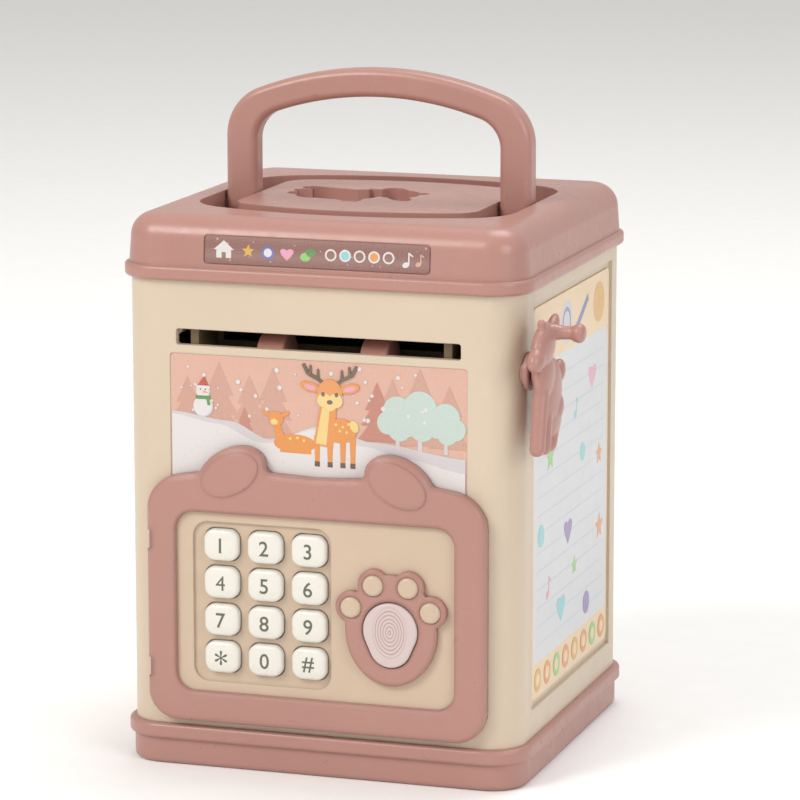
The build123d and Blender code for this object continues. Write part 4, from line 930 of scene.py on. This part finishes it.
def makeCrank():
    # drawn in millimetres: x towards the rear, y up, z out of the side, the axle at the origin
    depth = crankSizes["depth"]
    bm = bmesh.new()
    for u, v, halfLong, halfWide, tilt, halfDepth in crankMasses:
        turn = Matrix.Rotation(math.radians(tilt), 4, "Z")
        size = Matrix.Diagonal((halfLong, halfWide, halfDepth, 1))
        addBlob(bm, Matrix.Translation((u, v, depth / 2)) @ turn @ size)
    steps = crankSizes["limbSteps"]
    for u0, v0, u1, v1, r0, r1 in crankLimbs:
        for i in range(steps + 1):
            t = i / steps
            radius = r0 + (r1 - r0) * t
            spot = Matrix.Translation((u0 + (u1 - u0) * t, v0 + (v1 - v0) * t, depth / 2))
            addBlob(bm, spot @ Matrix.Diagonal((radius, radius, min(radius, crankSizes["limbDepth"]), 1)))
    lathe(bm, crankSizes["knob"], Matrix.Translation((*crankSizes["knobAt"], depth)))
    lathe(bm, crankSizes["collar"], Matrix.Identity(4))
    fused = fuse(bm, crankSizes["grain"], crankSizes["smoothing"])
    # the square peg that goes into the drive socket
    side, length = crankSizes["pegSide"], crankSizes["pegLength"]
    peg = Matrix.Translation((0, 0, -length / 2)) @ Matrix.Diagonal((side, side, length, 1))
    rod = bmesh.ops.create_cube(fused, size=1.0, matrix=peg)
    edges = list({e for v in rod["verts"] for e in v.link_edges})
    bmesh.ops.bevel(fused, geom=edges, offset=crankSizes["pegBevel"], affect="EDGES", segments=2, profile=0.5,
                    material=-1)
    origin = Vector((crankSizes["front"], crankSizes["axleY"], crankSizes["axleZ"])) * mm
    fused.transform(facing(origin, (0, 1, 0), (0, 0, 1), (1, 0, 0)))
    makePiece(fused, "crank_fawn", rosePlastic, "crank", ["crank"], creaseAngle=50)


makeCrank()
print("crank made")


# camera, light and floor
view = {"azimuth": 18.0, "elevation": 10.8, "distance": 1.2, "lens": 186.0, "sensor": 36.0,
        "target": (0.006, 0.0, 0.0985)}
studio = {"floorRadius": 6.0, "paper": ((0.86, 0.855, 0.85, 1), (0.90, 0.895, 0.89, 1)),
          "room": (1.0, 0.985, 0.96, 1), "roomStrength": 0.62, "aim": (0, 0, 0.1)}
# name, place, size, power, colour
studioLights = (
    ("keyLight", (-0.9, -1.3, 1.3), 0.9, 22, (1.0, 0.97, 0.93)),
    ("fillLight", (1.5, -0.9, 0.8), 1.0, 10, (0.96, 0.98, 1.0)),
    ("topLight", (0.2, 0.5, 1.6), 1.0, 12, (1.0, 1.0, 1.0)),
)


def makeCamera():
    data = bpy.data.cameras.new("productCamera")
    data.lens, data.sensor_width = view["lens"], view["sensor"]
    data.clip_start, data.clip_end = 0.05, 20.0
    camera = bpy.data.objects.new("productCamera", data)
    bpy.context.scene.collection.objects.link(camera)
    a, e = math.radians(view["azimuth"]), math.radians(view["elevation"])
    back = Vector((math.sin(a) * math.cos(e), -math.cos(a) * math.cos(e), math.sin(e)))
    camera.location = Vector(view["target"]) + back * view["distance"]
    camera.rotation_euler = (-back).to_track_quat("-Z", "Y").to_euler()
    bpy.context.scene.camera = camera


def areaLight(name, place, size, power, colour):
    data = bpy.data.lights.new(name, "AREA")
    data.shape, data.size, data.energy, data.color = "DISK", size, power, colour
    lamp = bpy.data.objects.new(name, data)
    bpy.context.scene.collection.objects.link(lamp)
    lamp.location = place
    lamp.rotation_euler = (Vector(studio["aim"]) - Vector(place)).to_track_quat("-Z", "Y").to_euler()


def makeStage():
    # a wide round sheet of paper for a floor, under a pale room
    bm = bmesh.new()
    bmesh.ops.create_circle(bm, cap_ends=True, segments=64, radius=studio["floorRadius"])
    mesh = bpy.data.meshes.new("studioFloor")
    bm.to_mesh(mesh)
    bm.free()
    material, tree, shader = startMaterial("studioPaper", Specular_IOR_Level=0.2)
    place = addNode(tree, "TexCoord")
    fibre = addNode(tree, "TexNoise", {"Scale": 90.0, "Detail": 5.0})
    tree.links.new(place.outputs["Object"], fibre.inputs["Vector"])
    shade = blend(tree, fibre.outputs["Fac"], *studio["paper"])
    tree.links.new(shade, shader.inputs["Base Color"])
    rough = addNode(tree, "MapRange", {"To Min": 0.8, "To Max": 0.95})
    tree.links.new(fibre.outputs["Fac"], rough.inputs["Value"])
    tree.links.new(rough.outputs["Result"], shader.inputs["Roughness"])
    mesh.materials.append(material)
    floor = bpy.data.objects.new("studioFloor", mesh)
    bpy.context.scene.collection.objects.link(floor)
    world = bpy.data.worlds.new("softRoom")
    world.use_nodes = True
    background = world.node_tree.nodes["Background"]
    background.inputs["Color"].default_value = studio["room"]
    background.inputs["Strength"].default_value = studio["roomStrength"]
    bpy.context.scene.world = world
    for light in studioLights:
        areaLight(*light)


makeCamera()
makeStage()
bpy.context.scene.view_settings.view_transform = "Standard"
print("camera and stage made")
